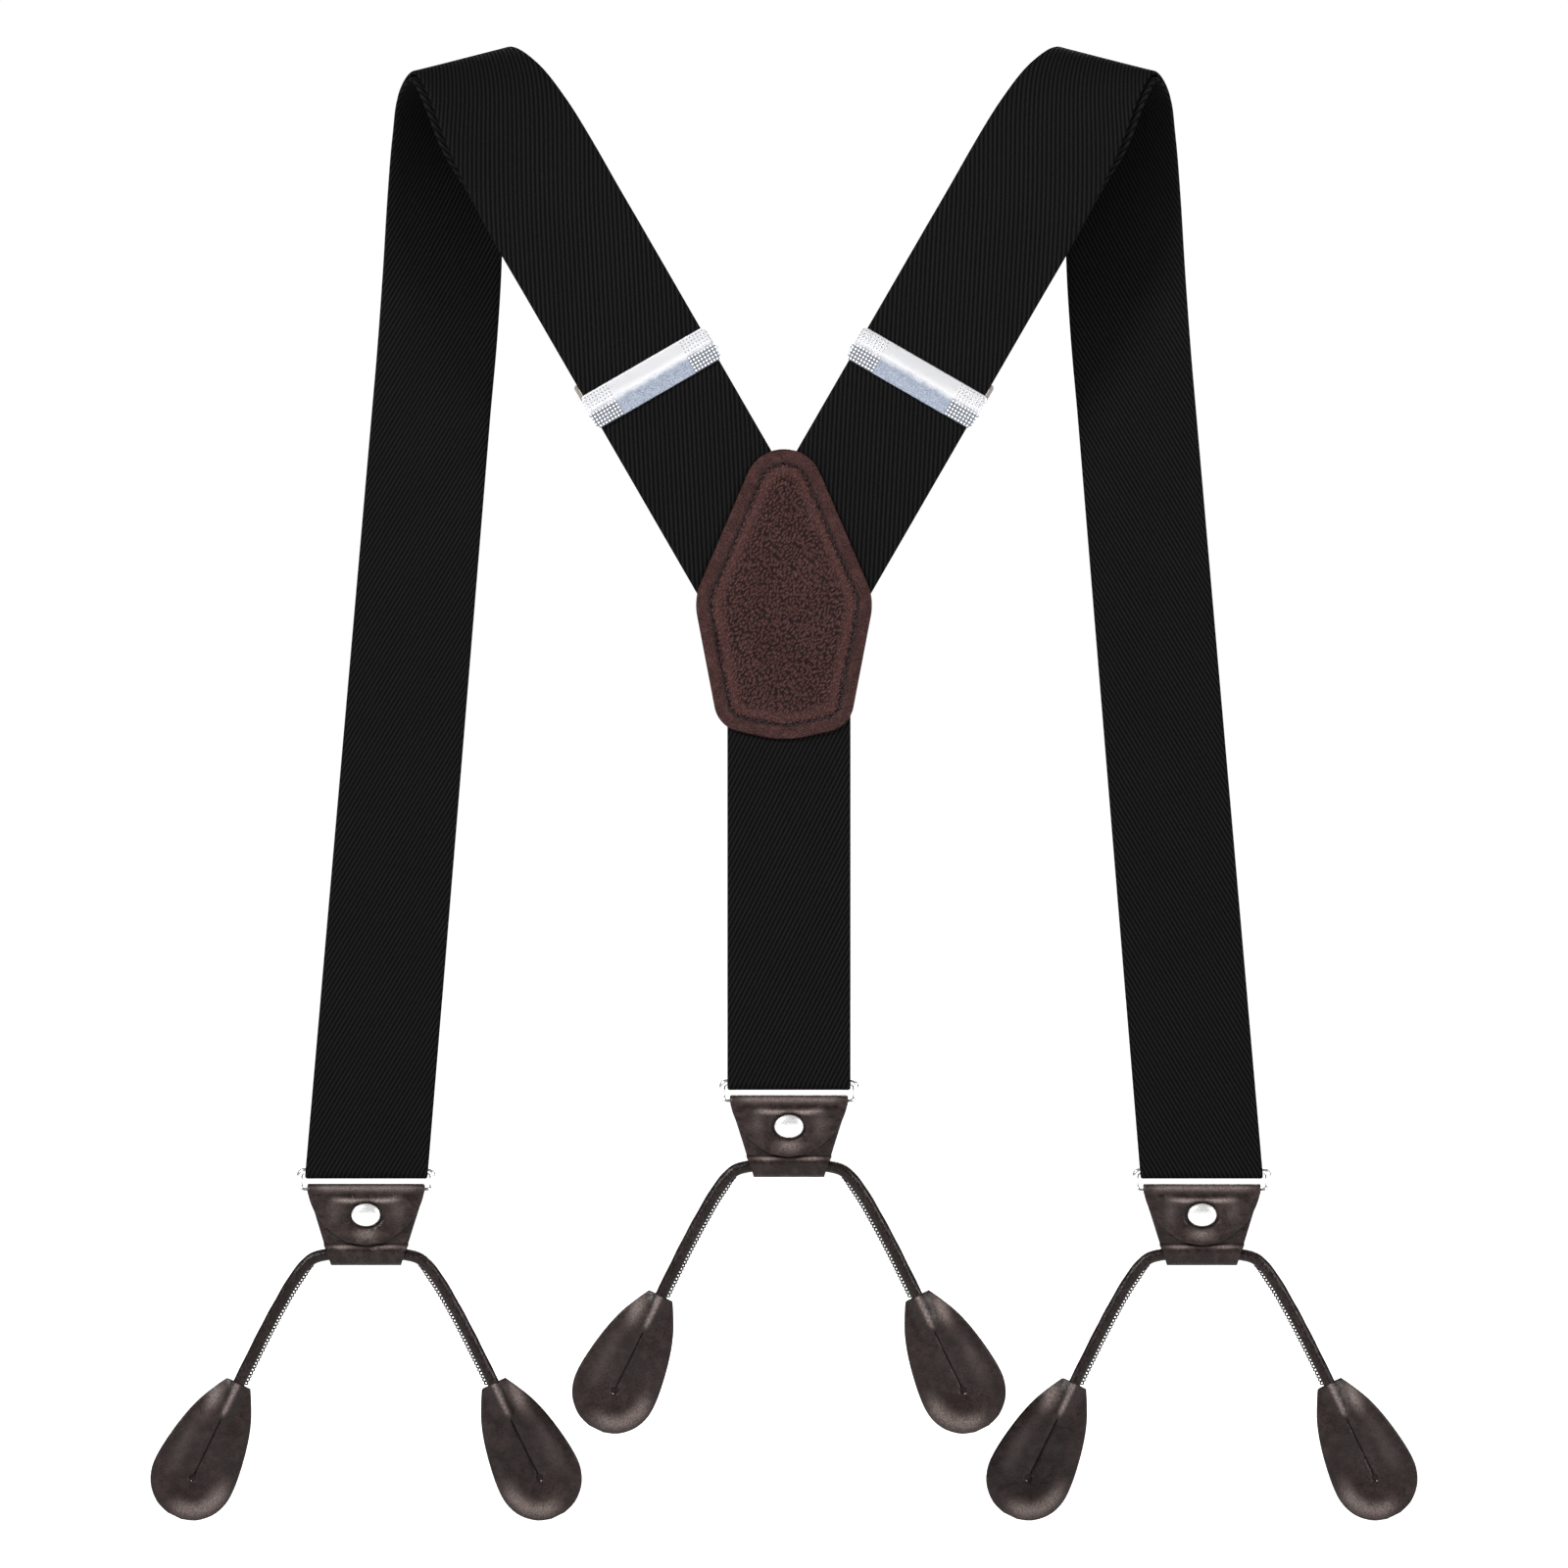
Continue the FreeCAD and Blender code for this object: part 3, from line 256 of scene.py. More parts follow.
def leather_material(name, low, high, cell, depth, roughness, lean=0.0, mottle=0.0, specular=0.3,
                     grain=1.0, flat=False, band=False, paint_highlights=False):
    """Leather with a grain of long pebbles, slow colour changes and paler high points.

    cell is a pebble's width and length in millimetres, lean the turn of its length from upright, grain how
    much the pebbles differ from the pits in colour: the paler high points are painted highlights and the
    darker pits painted shade. A flat grain doesn't change from front to back, so that its pebbles are all one
    size. With band, the map's first number is the distance in from the sewn border, which places a painted
    highlight inside the stitches and painted shade in the stitch groove. For the tab and button-end leathers,
    it is how much painted highlight is laid on as paler leather.
    """
    made = Material(name, Specular_IOR_Level=specular)
    spot = made.spot()
    turned = made.node("ShaderNodeMapping", {0: spot, 2: (0.0, lean, 0.0)}, vector_type="TEXTURE")
    sway = made.node("ShaderNodeTexNoise", {"Vector": spot, "Scale": 420.0, "Detail": 2.0}, 1)
    shift = made.node("ShaderNodeVectorMath", {0: sway, 1: (0.0011,) * 3}, operation="MULTIPLY")
    place = made.node("ShaderNodeVectorMath", {0: turned, 1: shift}, operation="ADD")
    sized = made.node("ShaderNodeVectorMath", {0: place, 1: (1 / cell[0], 1 / cell[0], 1 / cell[1])},
                      operation="MULTIPLY")
    if flat:
        wide, _, tall = made.split(sized)
        sized = made.node("ShaderNodeCombineXYZ", {0: wide, 1: tall})
    cells = made.node("ShaderNodeTexVoronoi", {"Vector": sized, "Scale": 1000.0, "Smoothness": 0.3},
                      feature="SMOOTH_F1", voronoi_dimensions="2D" if flat else "3D")
    pebble = made.less(1.0, made.ramp(cells, 0.16, 0.72))
    crumbs = made.noise(spot, 5200.0, 2.0)
    height = made.plus(pebble, made.times(crumbs, 0.3))
    cloud = made.noise(spot, 110.0, 4.0, 0.6)
    body = made.mix(made.ramp(cloud, 0.3, 0.7), low, high)
    # Painted shade: the pits darker. Painted highlights: the pebbles' high points paler.
    pits = made.mix(made.ramp(pebble, 0.0, 0.5), scaled(low, 1 - 0.75 * grain), body)
    painted_tip_shine = made.times(made.ramp(height, 0.88, 1.2), 0.75 * grain)
    colour = made.mix(painted_tip_shine, pits, scaled(high, 2.7))
    shine = made.plus(roughness - 0.1, made.times(cloud, 0.2))
    bump = made.bump(height, depth, 1.0)
    if mottle:
        patches = made.noise(spot, 420.0, 2.0, 0.5)
        # Paler mottled patches: partly the leather's own uneven tone and partly painted sheen. The same noise
        # also bumps the surface.
        mottle_and_sheen = made.ramp(patches, 0.45, 0.68)
        colour = made.mix(made.times(mottle_and_sheen, mottle), colour, scaled(high, 2.2))
        bump = made.bump(patches, 0.00035, 0.8, bump)
    if band or paint_highlights:
        mapped = made.split(made.weave())[0]
    if band:
        # Painted highlight: a paler ring just inside the stitches, on the crown of the puffed leather.
        painted_lit_band = made.times(made.ramp(mapped, 0.0046, 0.0055),
                          made.less(1.0, made.ramp(mapped, 0.0060, 0.0086)))
        colour = made.mix(made.times(painted_lit_band, 0.48), colour, scaled(high, 2.2))
        # Painted shade: darker leather along the stitch groove.
        groove = made.less(1.0, made.ramp(mapped, 0.0038, 0.0047))
        colour = made.mix(made.times(groove, 0.85), colour, scaled(low, 0.25))
    if paint_highlights:
        # Painted highlights: paler leather laid on where the map's first number is high.
        fine = made.ramp(made.noise(spot, 2400.0, 2.0), 0.38, 0.62)
        share = made.times(made.ramp(mapped, 0.0, 0.001), made.plus(0.45, made.times(fine, 0.55)))
        colour = made.mix(share, colour, rgb(0.230, 0.184, 0.170))
    return made.set(Base_Color=colour, Roughness=shine, Normal=bump)


def metal_material(name, colour, roughness, metallic):
    """Plated steel with faint handling marks."""
    made = Material(name, Metallic=metallic)
    spot = made.spot()
    marks = made.noise(spot, 1400.0, 4.0, 0.7)
    tone = made.mix(made.times(marks, 0.22), colour, scaled(colour, 0.72))
    shine = made.plus(roughness, made.times(marks, 0.08))
    height = made.times(marks, 0.3)
    return made.set(Base_Color=tone, Roughness=shine, Normal=made.bump(height, 0.00001, 0.5))


def plate_material():
    """The adjuster's face: bright above; below, rougher and painted blue-grey as a reflection; with fields of
    raised squares.
    """
    made = Material("plate", Metallic=0.6)
    across, height, _ = made.split(made.weave())
    bright = rgb(0.80, 0.80, 0.82)
    spot = made.spot()
    grains = made.noise(spot, 2600.0, 3.0, 0.8)
    streaks = made.noise(spot, 420.0, 2.0)
    wander = made.times(made.less(streaks, 0.5), 0.0014)
    edge = made.plus(height, wander)
    below = made.less(1.0, made.ramp(edge, -0.0013, 0.0012))
    # the squares: how far each point is from the middle of its square
    field_start = (PLATE_HALF - PLATE_MARGIN - DOT_COLUMNS * DOT_PITCH) * MM
    inward = made.less(made.math("ABSOLUTE", across), field_start)
    field = made.ramp(inward, -0.00002, 0.00002)
    upward = made.plus(height, (PLATE_HALF_HEIGHT - 0.1) * MM)
    offs = []
    for value in (inward, upward):
        share = made.math("FRACT", made.math("DIVIDE", value, DOT_PITCH * MM))
        offs.append(made.math("ABSOLUTE", made.less(share, 0.5)))
    off = made.math("MAXIMUM", *offs)
    gap = made.ramp(off, 0.25, 0.34)
    dot = made.less(1.0, made.ramp(off, 0.14, 0.24))
    # Painted reflection: the lower half is coloured blue-grey, as if reflecting darker surroundings, with a
    # wavering edge.
    painted_reflection_below = made.mix(made.ramp(grains, 0.32, 0.68), rgb(0.115, 0.140, 0.190), rgb(0.345, 0.380, 0.445))
    plain = made.mix(below, bright, painted_reflection_below)
    # The squares' tones follow the painted reflection: above, grey middles on the bright face; below, painted
    # shade in dark gaps between bright squares.
    squares_above = made.mix(dot, bright, rgb(0.26, 0.27, 0.29))
    squares_below = made.mix(gap, bright, rgb(0.10, 0.11, 0.135))
    squares = made.mix(below, squares_above, squares_below)
    tone = made.mix(field, plain, squares)
    shine = made.plus(0.2, made.times(below, 0.25))
    bump = made.bump(grains, 0.00003, 0.5)
    return made.set(Base_Color=tone, Roughness=shine, Normal=bump)


def thread_material():
    made = Material("thread", Specular_IOR_Level=0.25)
    spot = made.spot()
    twist = made.node("ShaderNodeTexWave", {"Vector": spot, "Scale": 1500.0, "Distortion": 2.0}, 1)
    tone = made.mix(twist, rgb(0.0030, 0.0016, 0.0015), rgb(0.0090, 0.0050, 0.0048))
    return made.set(Base_Color=tone, Roughness=0.65, Normal=made.bump(twist, 0.00005, 0.6))


def edge_material():
    """The cut and burnished edge of leather."""
    made = Material("leather_edge", Specular_IOR_Level=0.2)
    spot = made.spot()
    fibres = made.noise(spot, 3000.0, 3.0)
    tone = made.mix(fibres, rgb(0.003, 0.002, 0.002), rgb(0.014, 0.009, 0.008))
    return made.set(Base_Color=tone, Roughness=0.6, Normal=made.bump(fibres, 0.00004, 0.6))


def stage_material():
    made = Material("stage", Roughness=0.9, Specular_IOR_Level=0.1)
    spot = made.spot()
    tone = made.mix(made.noise(spot, 3.0, 2.0), rgb(0.93, 0.93, 0.93), rgb(0.96, 0.96, 0.96))
    far = made.node("ShaderNodeVectorMath", {0: spot}, 1, operation="LENGTH")
    glow = made.plus(0.3, made.times(made.ramp(far, 0.4, 2.0), 0.75))
    return made.set(Base_Color=tone, Emission_Color=tone, Emission_Strength=glow)


MATERIALS = {
    "webbing": webbing_material(),
    "patch": leather_material("patch_leather", rgb(0.0185, 0.0068, 0.0062), rgb(0.0285, 0.0116, 0.0106),
                              (0.6, 1.15), 0.0004, 0.36, lean=0.6, specular=0.09, grain=0.9, flat=True,
                              band=True),
    "rim": leather_material("rim_leather", rgb(0.0200, 0.0078, 0.0070), rgb(0.0325, 0.0136, 0.0125),
                            (0.35, 0.5), 0.00014, 0.4, mottle=0.3, specular=0.08, grain=0.4, flat=True),
    "tab": leather_material("tab_leather", rgb(0.0078, 0.0043, 0.0038), rgb(0.0200, 0.0122, 0.0111),
                            (0.4, 0.5), 0.00003, 0.32, mottle=0.3, specular=0.17, grain=0.15, paint_highlights=True),
    "ear": leather_material("ear_leather", rgb(0.0078, 0.0043, 0.0038), rgb(0.0190, 0.0117, 0.0107),
                            (0.35, 0.45), 0.00002, 0.36, mottle=0.22, specular=0.17, grain=0.15,
                            paint_highlights=True),
    "cord": leather_material("cord_leather", rgb(0.0075, 0.0045, 0.0040), rgb(0.0175, 0.0112, 0.0102),
                             (0.5, 0.9), 0.00004, 0.32, specular=0.14, grain=0.3),
    "edge": edge_material(),
    "thread": thread_material(),
    "metal": metal_material("bright_plate", rgb(0.86, 0.86, 0.87), 0.14, metallic=0.9),
    "lever": metal_material("lever_plate", rgb(0.40, 0.35, 0.32), 0.25, metallic=0.95),
    "rivet": metal_material("rivet_plate", rgb(0.84, 0.84, 0.83), 0.24, metallic=0.7),
    "plate": plate_material(),
    "stage": stage_material(),
}

# ---------------------------------------------------------------- meshes


def new_piece(name, points, faces, material, slot, texture=None, sharp=35.0, second=None, picks=()):
    """A mesh object from points in millimetres. texture is each point's (across, along)."""
    mesh = bpy.data.meshes.new(name)
    mesh.from_pydata([tuple(float(value) * MM for value in point) for point in points], [], faces)
    mesh.validate()
    if texture is not None:
        layer = mesh.uv_layers.new(name="weave")
        corners = np.zeros(len(mesh.loops), np.int32)
        mesh.loops.foreach_get("vertex_index", corners)
        layer.data.foreach_set("uv", (np.array(texture, float)[corners] * MM).astype(np.float32).ravel())
    bm = bmesh.new()
    bm.from_mesh(mesh)
    bmesh.ops.recalc_face_normals(bm, faces=bm.faces)
    bm.to_mesh(mesh)
    bm.free()
    mesh.materials.append(MATERIALS[material])
    if second:
        mesh.materials.append(MATERIALS[second])
        for index in picks:
            mesh.polygons[index].material_index = 1
    mesh.shade_smooth()
    mesh.set_sharp_from_angle(angle=math.radians(sharp))
    piece = bpy.data.objects.new(name, mesh)
    bpy.context.scene.collection.objects.link(piece)
    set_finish(piece, slot)
    return piece


def grid_faces(rows, columns, closed=False):
    """Quads over a grid of points, row by row; closed joins the last column to the first."""
    faces = []
    for row in range(rows - 1):
        for column in range(columns if closed else columns - 1):
            beside = (column + 1) % columns
            faces.append((row * columns + column, row * columns + beside,
                          (row + 1) * columns + beside, (row + 1) * columns + column))
    return faces


def tube_faces(rows, columns):
    """The faces of a tube of points, row by row, with both its ends."""
    last = (rows - 1) * columns
    ends = [tuple(range(columns)), tuple(range(last, last + columns))]
    return grid_faces(rows, columns, closed=True) + ends


def round_about(right, up, sides):
    """Directions all the way round, from right towards up."""
    turns = [2 * math.pi * side / sides for side in range(sides)]
    return [right * math.cos(turn) + up * math.sin(turn) for turn in turns]


def running_lengths(line):
    """How far along a line of points each one lies."""
    lengths = [0.0]
    for before, after in zip(line, line[1:]):
        lengths.append(lengths[-1] + (after - before).length)
    return lengths


def capsule(start, end, radius, sides=8):
    """A short thread of stitching from start to end, thicker in the middle."""
    start, end = Vector(start), Vector(end)
    along = (end - start).normalized()
    right = along.orthogonal().normalized()
    up = along.cross(right)
    shares = [(0.0, 0.25), (0.12, 0.8), (0.35, 1.0), (0.65, 1.0), (0.88, 0.8), (1.0, 0.25)]
    points = []
    for share, swell in shares:
        middle = start.lerp(end, share)
        points += [middle + way * radius * swell for way in round_about(right, up, sides)]
    return points, tube_faces(len(shares), sides)


def tube_along(line, radius, sides=6):
    """A thin round cord through a few points that lie in an upright plane."""
    points = []
    for i, middle in enumerate(line):
        along = (line[min(i + 1, len(line) - 1)] - line[max(i - 1, 0)]).normalized()
        aside = along.cross(deep(1)).normalized()
        points += [middle + way * radius for way in round_about(aside, deep(1), sides)]
    return points, tube_faces(len(line), sides)


def join(parts):
    """One list of points and faces from several."""
    points, faces = [], []
    for more_points, more_faces in parts:
        base = len(points)
        points += list(more_points)
        faces += [tuple(index + base for index in face) for face in more_faces]
    return points, faces


def stitches(line, pitch, share, radius, lift=(0.0, -0.1, 0.0), sway=0.0):
    """Threads along a closed or open line of points, each covering a share of the pitch."""
    line = [Vector(point) for point in line]
    lengths = running_lengths(line)
    count = max(1, round(lengths[-1] / pitch))
    pitch = lengths[-1] / count

    def at(distance):
        index = int(np.searchsorted(lengths, distance, side="right")) - 1
        index = min(max(index, 0), len(line) - 2)
        part = (distance - lengths[index]) / max(lengths[index + 1] - lengths[index], 1e-9)
        return line[index].lerp(line[index + 1], part)

    parts = []
    for number in range(count):
        start, end = at((number + 0.5 - share / 2) * pitch), at((number + 0.5 + share / 2) * pitch)
        aside = (end - start).cross(deep(1)).normalized() * sway
        parts.append(capsule(start + Vector(lift) + aside, end + Vector(lift) - aside, radius))
    return join(parts)


# ---------------------------------------------------------------- webbing


def webbing_ring(width, thickness):
    """Points round the webbing's section as (across, off the middle), with rounded selvedges."""
    half, edge = width / 2, thickness / 2
    flat = np.linspace(-half + edge, half - edge, 17)
    turn = np.radians(np.linspace(-90, 90, 7))[1:-1]
    swell = 1 + 0.10 * np.exp(-(((half - 1.1) - np.abs(flat)) / 0.5) ** 2)
    lower = [(a, -edge * s) for a, s in zip(flat, swell)]
    right = [(half - edge + edge * math.cos(t), edge * math.sin(t)) for t in turn]
    upper = [(a, edge * s) for a, s in zip(flat[::-1], swell[::-1])]
    left = [(-half + edge - edge * math.cos(t), -edge * math.sin(t)) for t in turn]
    return lower + right + upper + left


def weave_runs(rows, start=0.0, backwards=False):
    """How far along the webbing each row lies, for its texture; narrowed webbing is longer."""
    runs = [start]
    for before, after in zip(rows, rows[1:]):
        step = (after[0] - before[0]).length * WEBBING["width"] / after[3]
        runs.append(runs[-1] + (-step if backwards else step))
    return runs


def ribbon(name, rows, thickness=WEBBING["thickness"], flip=1, start=0.0, backwards=False):
    """Webbing through rows of (middle, side, normal, width); its texture runs on from row to row."""
    points, texture = [], []
    for (middle, side, normal, width), along in zip(rows, weave_runs(rows, start, backwards)):
        for across, off in webbing_ring(width, thickness):
            points.append(middle + side * across + normal * off)
            texture.append((flip * across * WEBBING["width"] / width, along))
    faces = tube_faces(len(rows), len(points) // len(rows))
    return new_piece(name, points, faces, "webbing", "webbing", texture)


def between(before, start, end, after, share):
    values = []
    for a, b, c, d in zip(before, start, end, after):
        bend, twist = 2 * a - 5 * b + 4 * c - d, 3 * b - a - 3 * c + d
        values.append(0.5 * (2 * b + (c - a) * share + bend * share**2 + twist * share**3))
    return values


def dense_line(stations, steps):
    """Points on the smooth line through the stations, with steps from each to the next."""
    last = len(stations) - 1
    made = []
    for i in range(last):
        around = (stations[max(i - 1, 0)], stations[i], stations[i + 1], stations[min(i + 2, last)])
        made += [between(*around, step / steps) for step in range(steps)]
    return made + [stations[-1]]


def fold_rows(first, inset):
    """Rows over the left shoulder, from the first station on, an inset inside the outer layer."""
    dense, rows = dense_line(FOLD_STATIONS, FOLD_STEPS), []
    for i in range(first * FOLD_STEPS, len(dense)):
        before, after = Vector(dense[max(i - 1, 0)][:3]), Vector(dense[min(i + 1, len(dense) - 1)][:3])
        turn, slope = math.radians(dense[i][3]), math.radians(dense[i][4])
        side = Vector((math.cos(slope) * math.cos(turn), math.cos(slope) * math.sin(turn), math.sin(slope)))
        normal = side.cross(after - before).normalized()
        rows.append((Vector(dense[i][:3]) - normal * inset, side, normal, dense[i][5]))
    return rows


def shifted_fold(rows):
    """The inner layer over the shoulder, standing out a little past the outer one's edge."""
    count = len(rows) - 1
    moved = []
    for index, (middle, side, normal, width) in enumerate(rows):
        share = index / count
        shift = EDGE_PEEP * float(smooth_step(share, 0.0, 0.12) * (1 - smooth_step(share, 0.45, 0.95)))
        moved.append((middle - side * shift - normal * 0.15 * shift, side, normal, width))
    return moved


def front_share(height):
    return (height - FRONT_BOTTOM) / (FRONT_TOP - FRONT_BOTTOM)


def front_middle(height, depth):
    share = front_share(height)
    return Vector((FRONT_BOTTOM_ACROSS * (1 - share) + FRONT_TOP_ACROSS * share, depth, height))


def front_width(height):
    share = front_share(height)
    return WEBBING["width"] * (1 - share) + FOLD_STATIONS[-1][5] * share


def inner_depth(height):
    share = front_share(height) if height > FRONT_BOTTOM else 0.0
    plane = WEBBING["front_plane"]
    return (plane - 2 * HAIRPIN) * (1 - share) + (plane - WEBBING["pitch"]) * share


def flat_rows(heights, depth_at, facing):
    rows = []
    for height in heights:
        rows.append((front_middle(height, depth_at(height)), Vector((1, 0, 0)), Vector((0, facing, 0)),
                     front_width(height)))
    return rows


def hairpin_rows():
    """Round the ring's upper bar, from the outer layer behind to the inner one in front."""
    turn_height = FRONT_BOTTOM + HAIRPIN + WEBBING["thickness"] / 2
    middle_depth = WEBBING["front_plane"] - HAIRPIN
    rows = []
    for angle in np.radians(np.linspace(0, 180, 15)):
        depth = middle_depth + HAIRPIN * math.cos(angle)
        height = turn_height - HAIRPIN * math.sin(angle)
        normal = Vector((0, math.cos(angle), -math.sin(angle)))
        rows.append((front_middle(height, depth), Vector((1, 0, 0)), normal, front_width(height)))
    return rows


def back_rows():
    """The flat diagonal, from below the patch up to the first fold station."""
    start = Vector(FOLD_STATIONS[0][:3])
    down = Vector((math.sin(BACK_ANGLE), 0, -math.cos(BACK_ANGLE)))
    side = Vector((math.cos(BACK_ANGLE), 0, math.sin(BACK_ANGLE)))
    width = FOLD_STATIONS[0][5]
    return [(start + down * run, side, deep(-1), width) for run in np.linspace(BACK_RUN, 4, 38)]


def cut(piece, point, direction):
    """Cut away what lies beyond a plane, in millimetres, and close the cut."""
    bm = bmesh.new()
    bm.from_mesh(piece.data)
    everything = bm.verts[:] + bm.edges[:] + bm.faces[:]
    done = bmesh.ops.bisect_plane(bm, geom=everything, plane_co=Vector(point) * MM,
                                  plane_no=direction, clear_outer=True)
    edges = [item for item in done["geom_cut"] if isinstance(item, bmesh.types.BMEdge)]
    bmesh.ops.holes_fill(bm, edges=edges, sides=0)
    bm.to_mesh(piece.data)
    bm.free()
    piece.data.set_sharp_from_angle(angle=math.radians(35))


def mirror_if(piece, side):
    """Pieces are made for the left; the right one is the mirror image."""
    if side > 0:
        piece.data.transform(Matrix.Scale(-1, 4, (1, 0, 0)))
        piece.data.flip_normals()
        piece.data.set_sharp_from_angle(angle=math.radians(35))
    return piece


def adjuster_frame(name):
    """The adjuster's own axes: across, depth and up the strap, at the middle of its plate."""
    up = Vector(joints[f"{name}_adjuster_slide"]["axis"])
    across = Vector((up.z, 0, -up.x))
    pivot = joint_place(f"{name}_lever_hinge")
    middle = pivot + up * PIN_BELOW + deep(-PIN_BEHIND)
    return middle, across, up


def return_rows():
    """The left inner layer, from the shoulder fold down to the lever's tail."""
    middle, across, up = adjuster_frame("left")
    fold = fold_rows(0, WEBBING["pitch"])
    top_rows = fold[: INNER_FOLD_START * FOLD_STEPS + 1][::-1]
    low = middle + up * 15.2 + deep(TAIL_DEPTH) + across * -TAIL_SHIFT
    high = top_rows[-1][0] + deep(0.2)
    rows = list(top_rows)
    for share in np.linspace(0, 1, 16)[1:]:
        ease = share * share * (3 - 2 * share)
        place = high.lerp(low, share)
        place.y = high.y * (1 - ease) + low.y * ease
        width = FOLD_STATIONS[0][5] * (1 - share) + TAIL_WIDTH * share
        rows.append((place, across, deep(-1), width))
    return rows


def tail_rows(name):
    """The end of the return layer, round the lever's end bar and sewn back on itself."""
    middle, across, up = adjuster_frame(name)
    shift = across * (SIDES[name] * TAIL_SHIFT)
    radius, bar, depth = 1.65, 8.2, TAIL_DEPTH
    rows = []
    for run in np.linspace(15.0, bar, 8):
        rows.append((middle + shift + up * run + deep(depth - radius), across, deep(-1), TAIL_WIDTH))
    for angle in np.radians(np.linspace(0, 180, 13))[1:-1]:
        out = deep(-math.cos(angle)) - up * math.sin(angle)
        rows.append((middle + shift + up * bar + deep(depth) + out * radius, across, out, TAIL_WIDTH))
    for run in np.linspace(bar, 15.0, 8):
        rows.append((middle + shift + up * run + deep(depth + radius), across, deep(1), TAIL_WIDTH))
    return rows


def run_length(rows):
    return sum((after[0] - before[0]).length for before, after in zip(rows, rows[1:])) * MM


def declare_strap(rows, cad_nodes):
    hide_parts(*cad_nodes)
    run_length(rows)


def side_straps(name, side):
    shoulder = joint_place(f"{name}_shoulder") * MM
    over_start, over_end = (shoulder.x, -0.006, shoulder.z), (shoulder.x, 0.009, shoulder.z)
    upper = np.linspace(FRONT_TOP - 3.5, FRONT_SPLIT, 8)

    rows = back_rows() + fold_rows(0, 0.0) + flat_rows(upper, lambda z: WEBBING["front_plane"], 1)
    outer_end = weave_runs(rows)[-1]
    outer = ribbon(f"{name}_outer_strap", rows)
    cut(outer, (-MITRE_GAP, 0, 0), (1, 0, 0))
    cut(outer, (0, 0, BACK_END), (0, 0, -1))
    mirror_if(outer, side)
    length = run_length(rows)
    declare_strap(rows, [f"{name}_back_webbing"])
    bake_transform(outer)
    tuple(over_start)
    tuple(over_end)

    turn_height = FRONT_BOTTOM + HAIRPIN + WEBBING["thickness"] / 2
    long_run = np.linspace(FRONT_SPLIT, turn_height + 0.4, 48)
    front_rows = flat_rows(long_run, lambda z: WEBBING["front_plane"], 1) + hairpin_rows()
    front_rows += flat_rows(long_run[::-1], inner_depth, -1)
    front_end = weave_runs(front_rows, outer_end)[-1]

    rows = shifted_fold(fold_rows(INNER_FOLD_START, WEBBING["pitch"])) + flat_rows(upper, inner_depth, 1)
    inner_end = weave_runs(rows, front_end)[-1]
    inner = mirror_if(ribbon(f"{name}_inner_strap", rows, start=inner_end, backwards=True), side)
    declare_strap(rows, [f"{name}_shoulder_fold", f"{name}_front_upper_webbing"])
    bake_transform(inner)
    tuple(over_start)
    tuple(over_end)

    front = mirror_if(ribbon(f"{name}_front_strap", front_rows, start=outer_end), side)
    declare_strap(front_rows, [f"{name}_front_webbing", f"{name}_front_loop"])
    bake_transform(front)

    rows = return_rows()
    back = mirror_if(ribbon(f"{name}_return_strap", rows, start=inner_end), side)
    declare_strap(rows, [f"{name}_return_webbing"])
    top, low = rows[0][0] * MM, rows[-1][0] * MM
    for point in (top, low):
        point.x *= -side
    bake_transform(back)
    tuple(top)
    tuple(low)

    rows = tail_rows(name)
    tail = ribbon(f"{name}_tail_strap", rows, thickness=1.0)
    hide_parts(f"{name}_webbing_tail")
    run_length(rows)
    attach(tail, f"{name}_lever")
    middle, across, up = adjuster_frame(name)
    lines = []
    for run in TAIL_SEAMS:
        for depth in (0.9, 5.35):
            start = middle + up * run + deep(depth) - across * TAIL_SEAM_HALF
            ends = [start, start + across * 2 * TAIL_SEAM_HALF]
            lines.append(stitches(ends, 2.2, share=0.62, radius=0.22, lift=(0, 0, 0)))
    points, faces = join(lines)
    seam = new_piece(f"{name}_tail_thread", points, faces, "thread", "thread")
    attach(seam, f"{name}_lever")


def centre_strap():
    back, pitch = WEBBING["back_plane"], WEBBING["pitch"]
    half = WEBBING["thickness"] / 2
    ring_depth = back + HAIRPIN
    turn = CENTRE["bottom"] + HAIRPIN + half

    def place(height, depth):
        return Vector((CENTRE["across"], depth, height))

    across = Vector((1, 0, 0))
    rows = [(place(z, back), across, deep(-1), WEBBING["width"])
            for z in np.linspace(CENTRE["top"], turn + 0.4, 34)]
    for angle in np.radians(np.linspace(0, 180, 15)):
        out = Vector((0, -math.cos(angle), -math.sin(angle)))
        rows.append((place(turn, ring_depth) + out * HAIRPIN, across, out, WEBBING["width"]))
    behind = ring_depth + HAIRPIN
    for z in np.linspace(turn + 0.4, CENTRE["back_top"], 40):
        share = min(1.0, (z - turn) / (CENTRE["parting"] - turn))
        rows.append((place(z, behind * (1 - share) + (back + pitch) * share), across, deep(1),
                     WEBBING["width"]))
    strap = ribbon("centre_strap", rows, flip=-1)
    declare_strap(rows, ["centre_webbing"])
    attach(strap, "root")


# ---------------------------------------------------------------- flat leather pieces


def distances(points, loop):
    """Each point's distance to a closed loop of points, in the same plane."""
    points, start = np.array(points, float), np.array(loop, float)
    run = np.roll(start, -1, axis=0) - start
    best = np.full(len(points), 1e9)
    for origin, step in zip(start, run):
        length = max(float(step @ step), 1e-12)
        share = np.clip(((points - origin) @ step) / length, 0, 1)
        best = np.minimum(best, np.linalg.norm(points - origin - share[:, None] * step, axis=1))
    return best


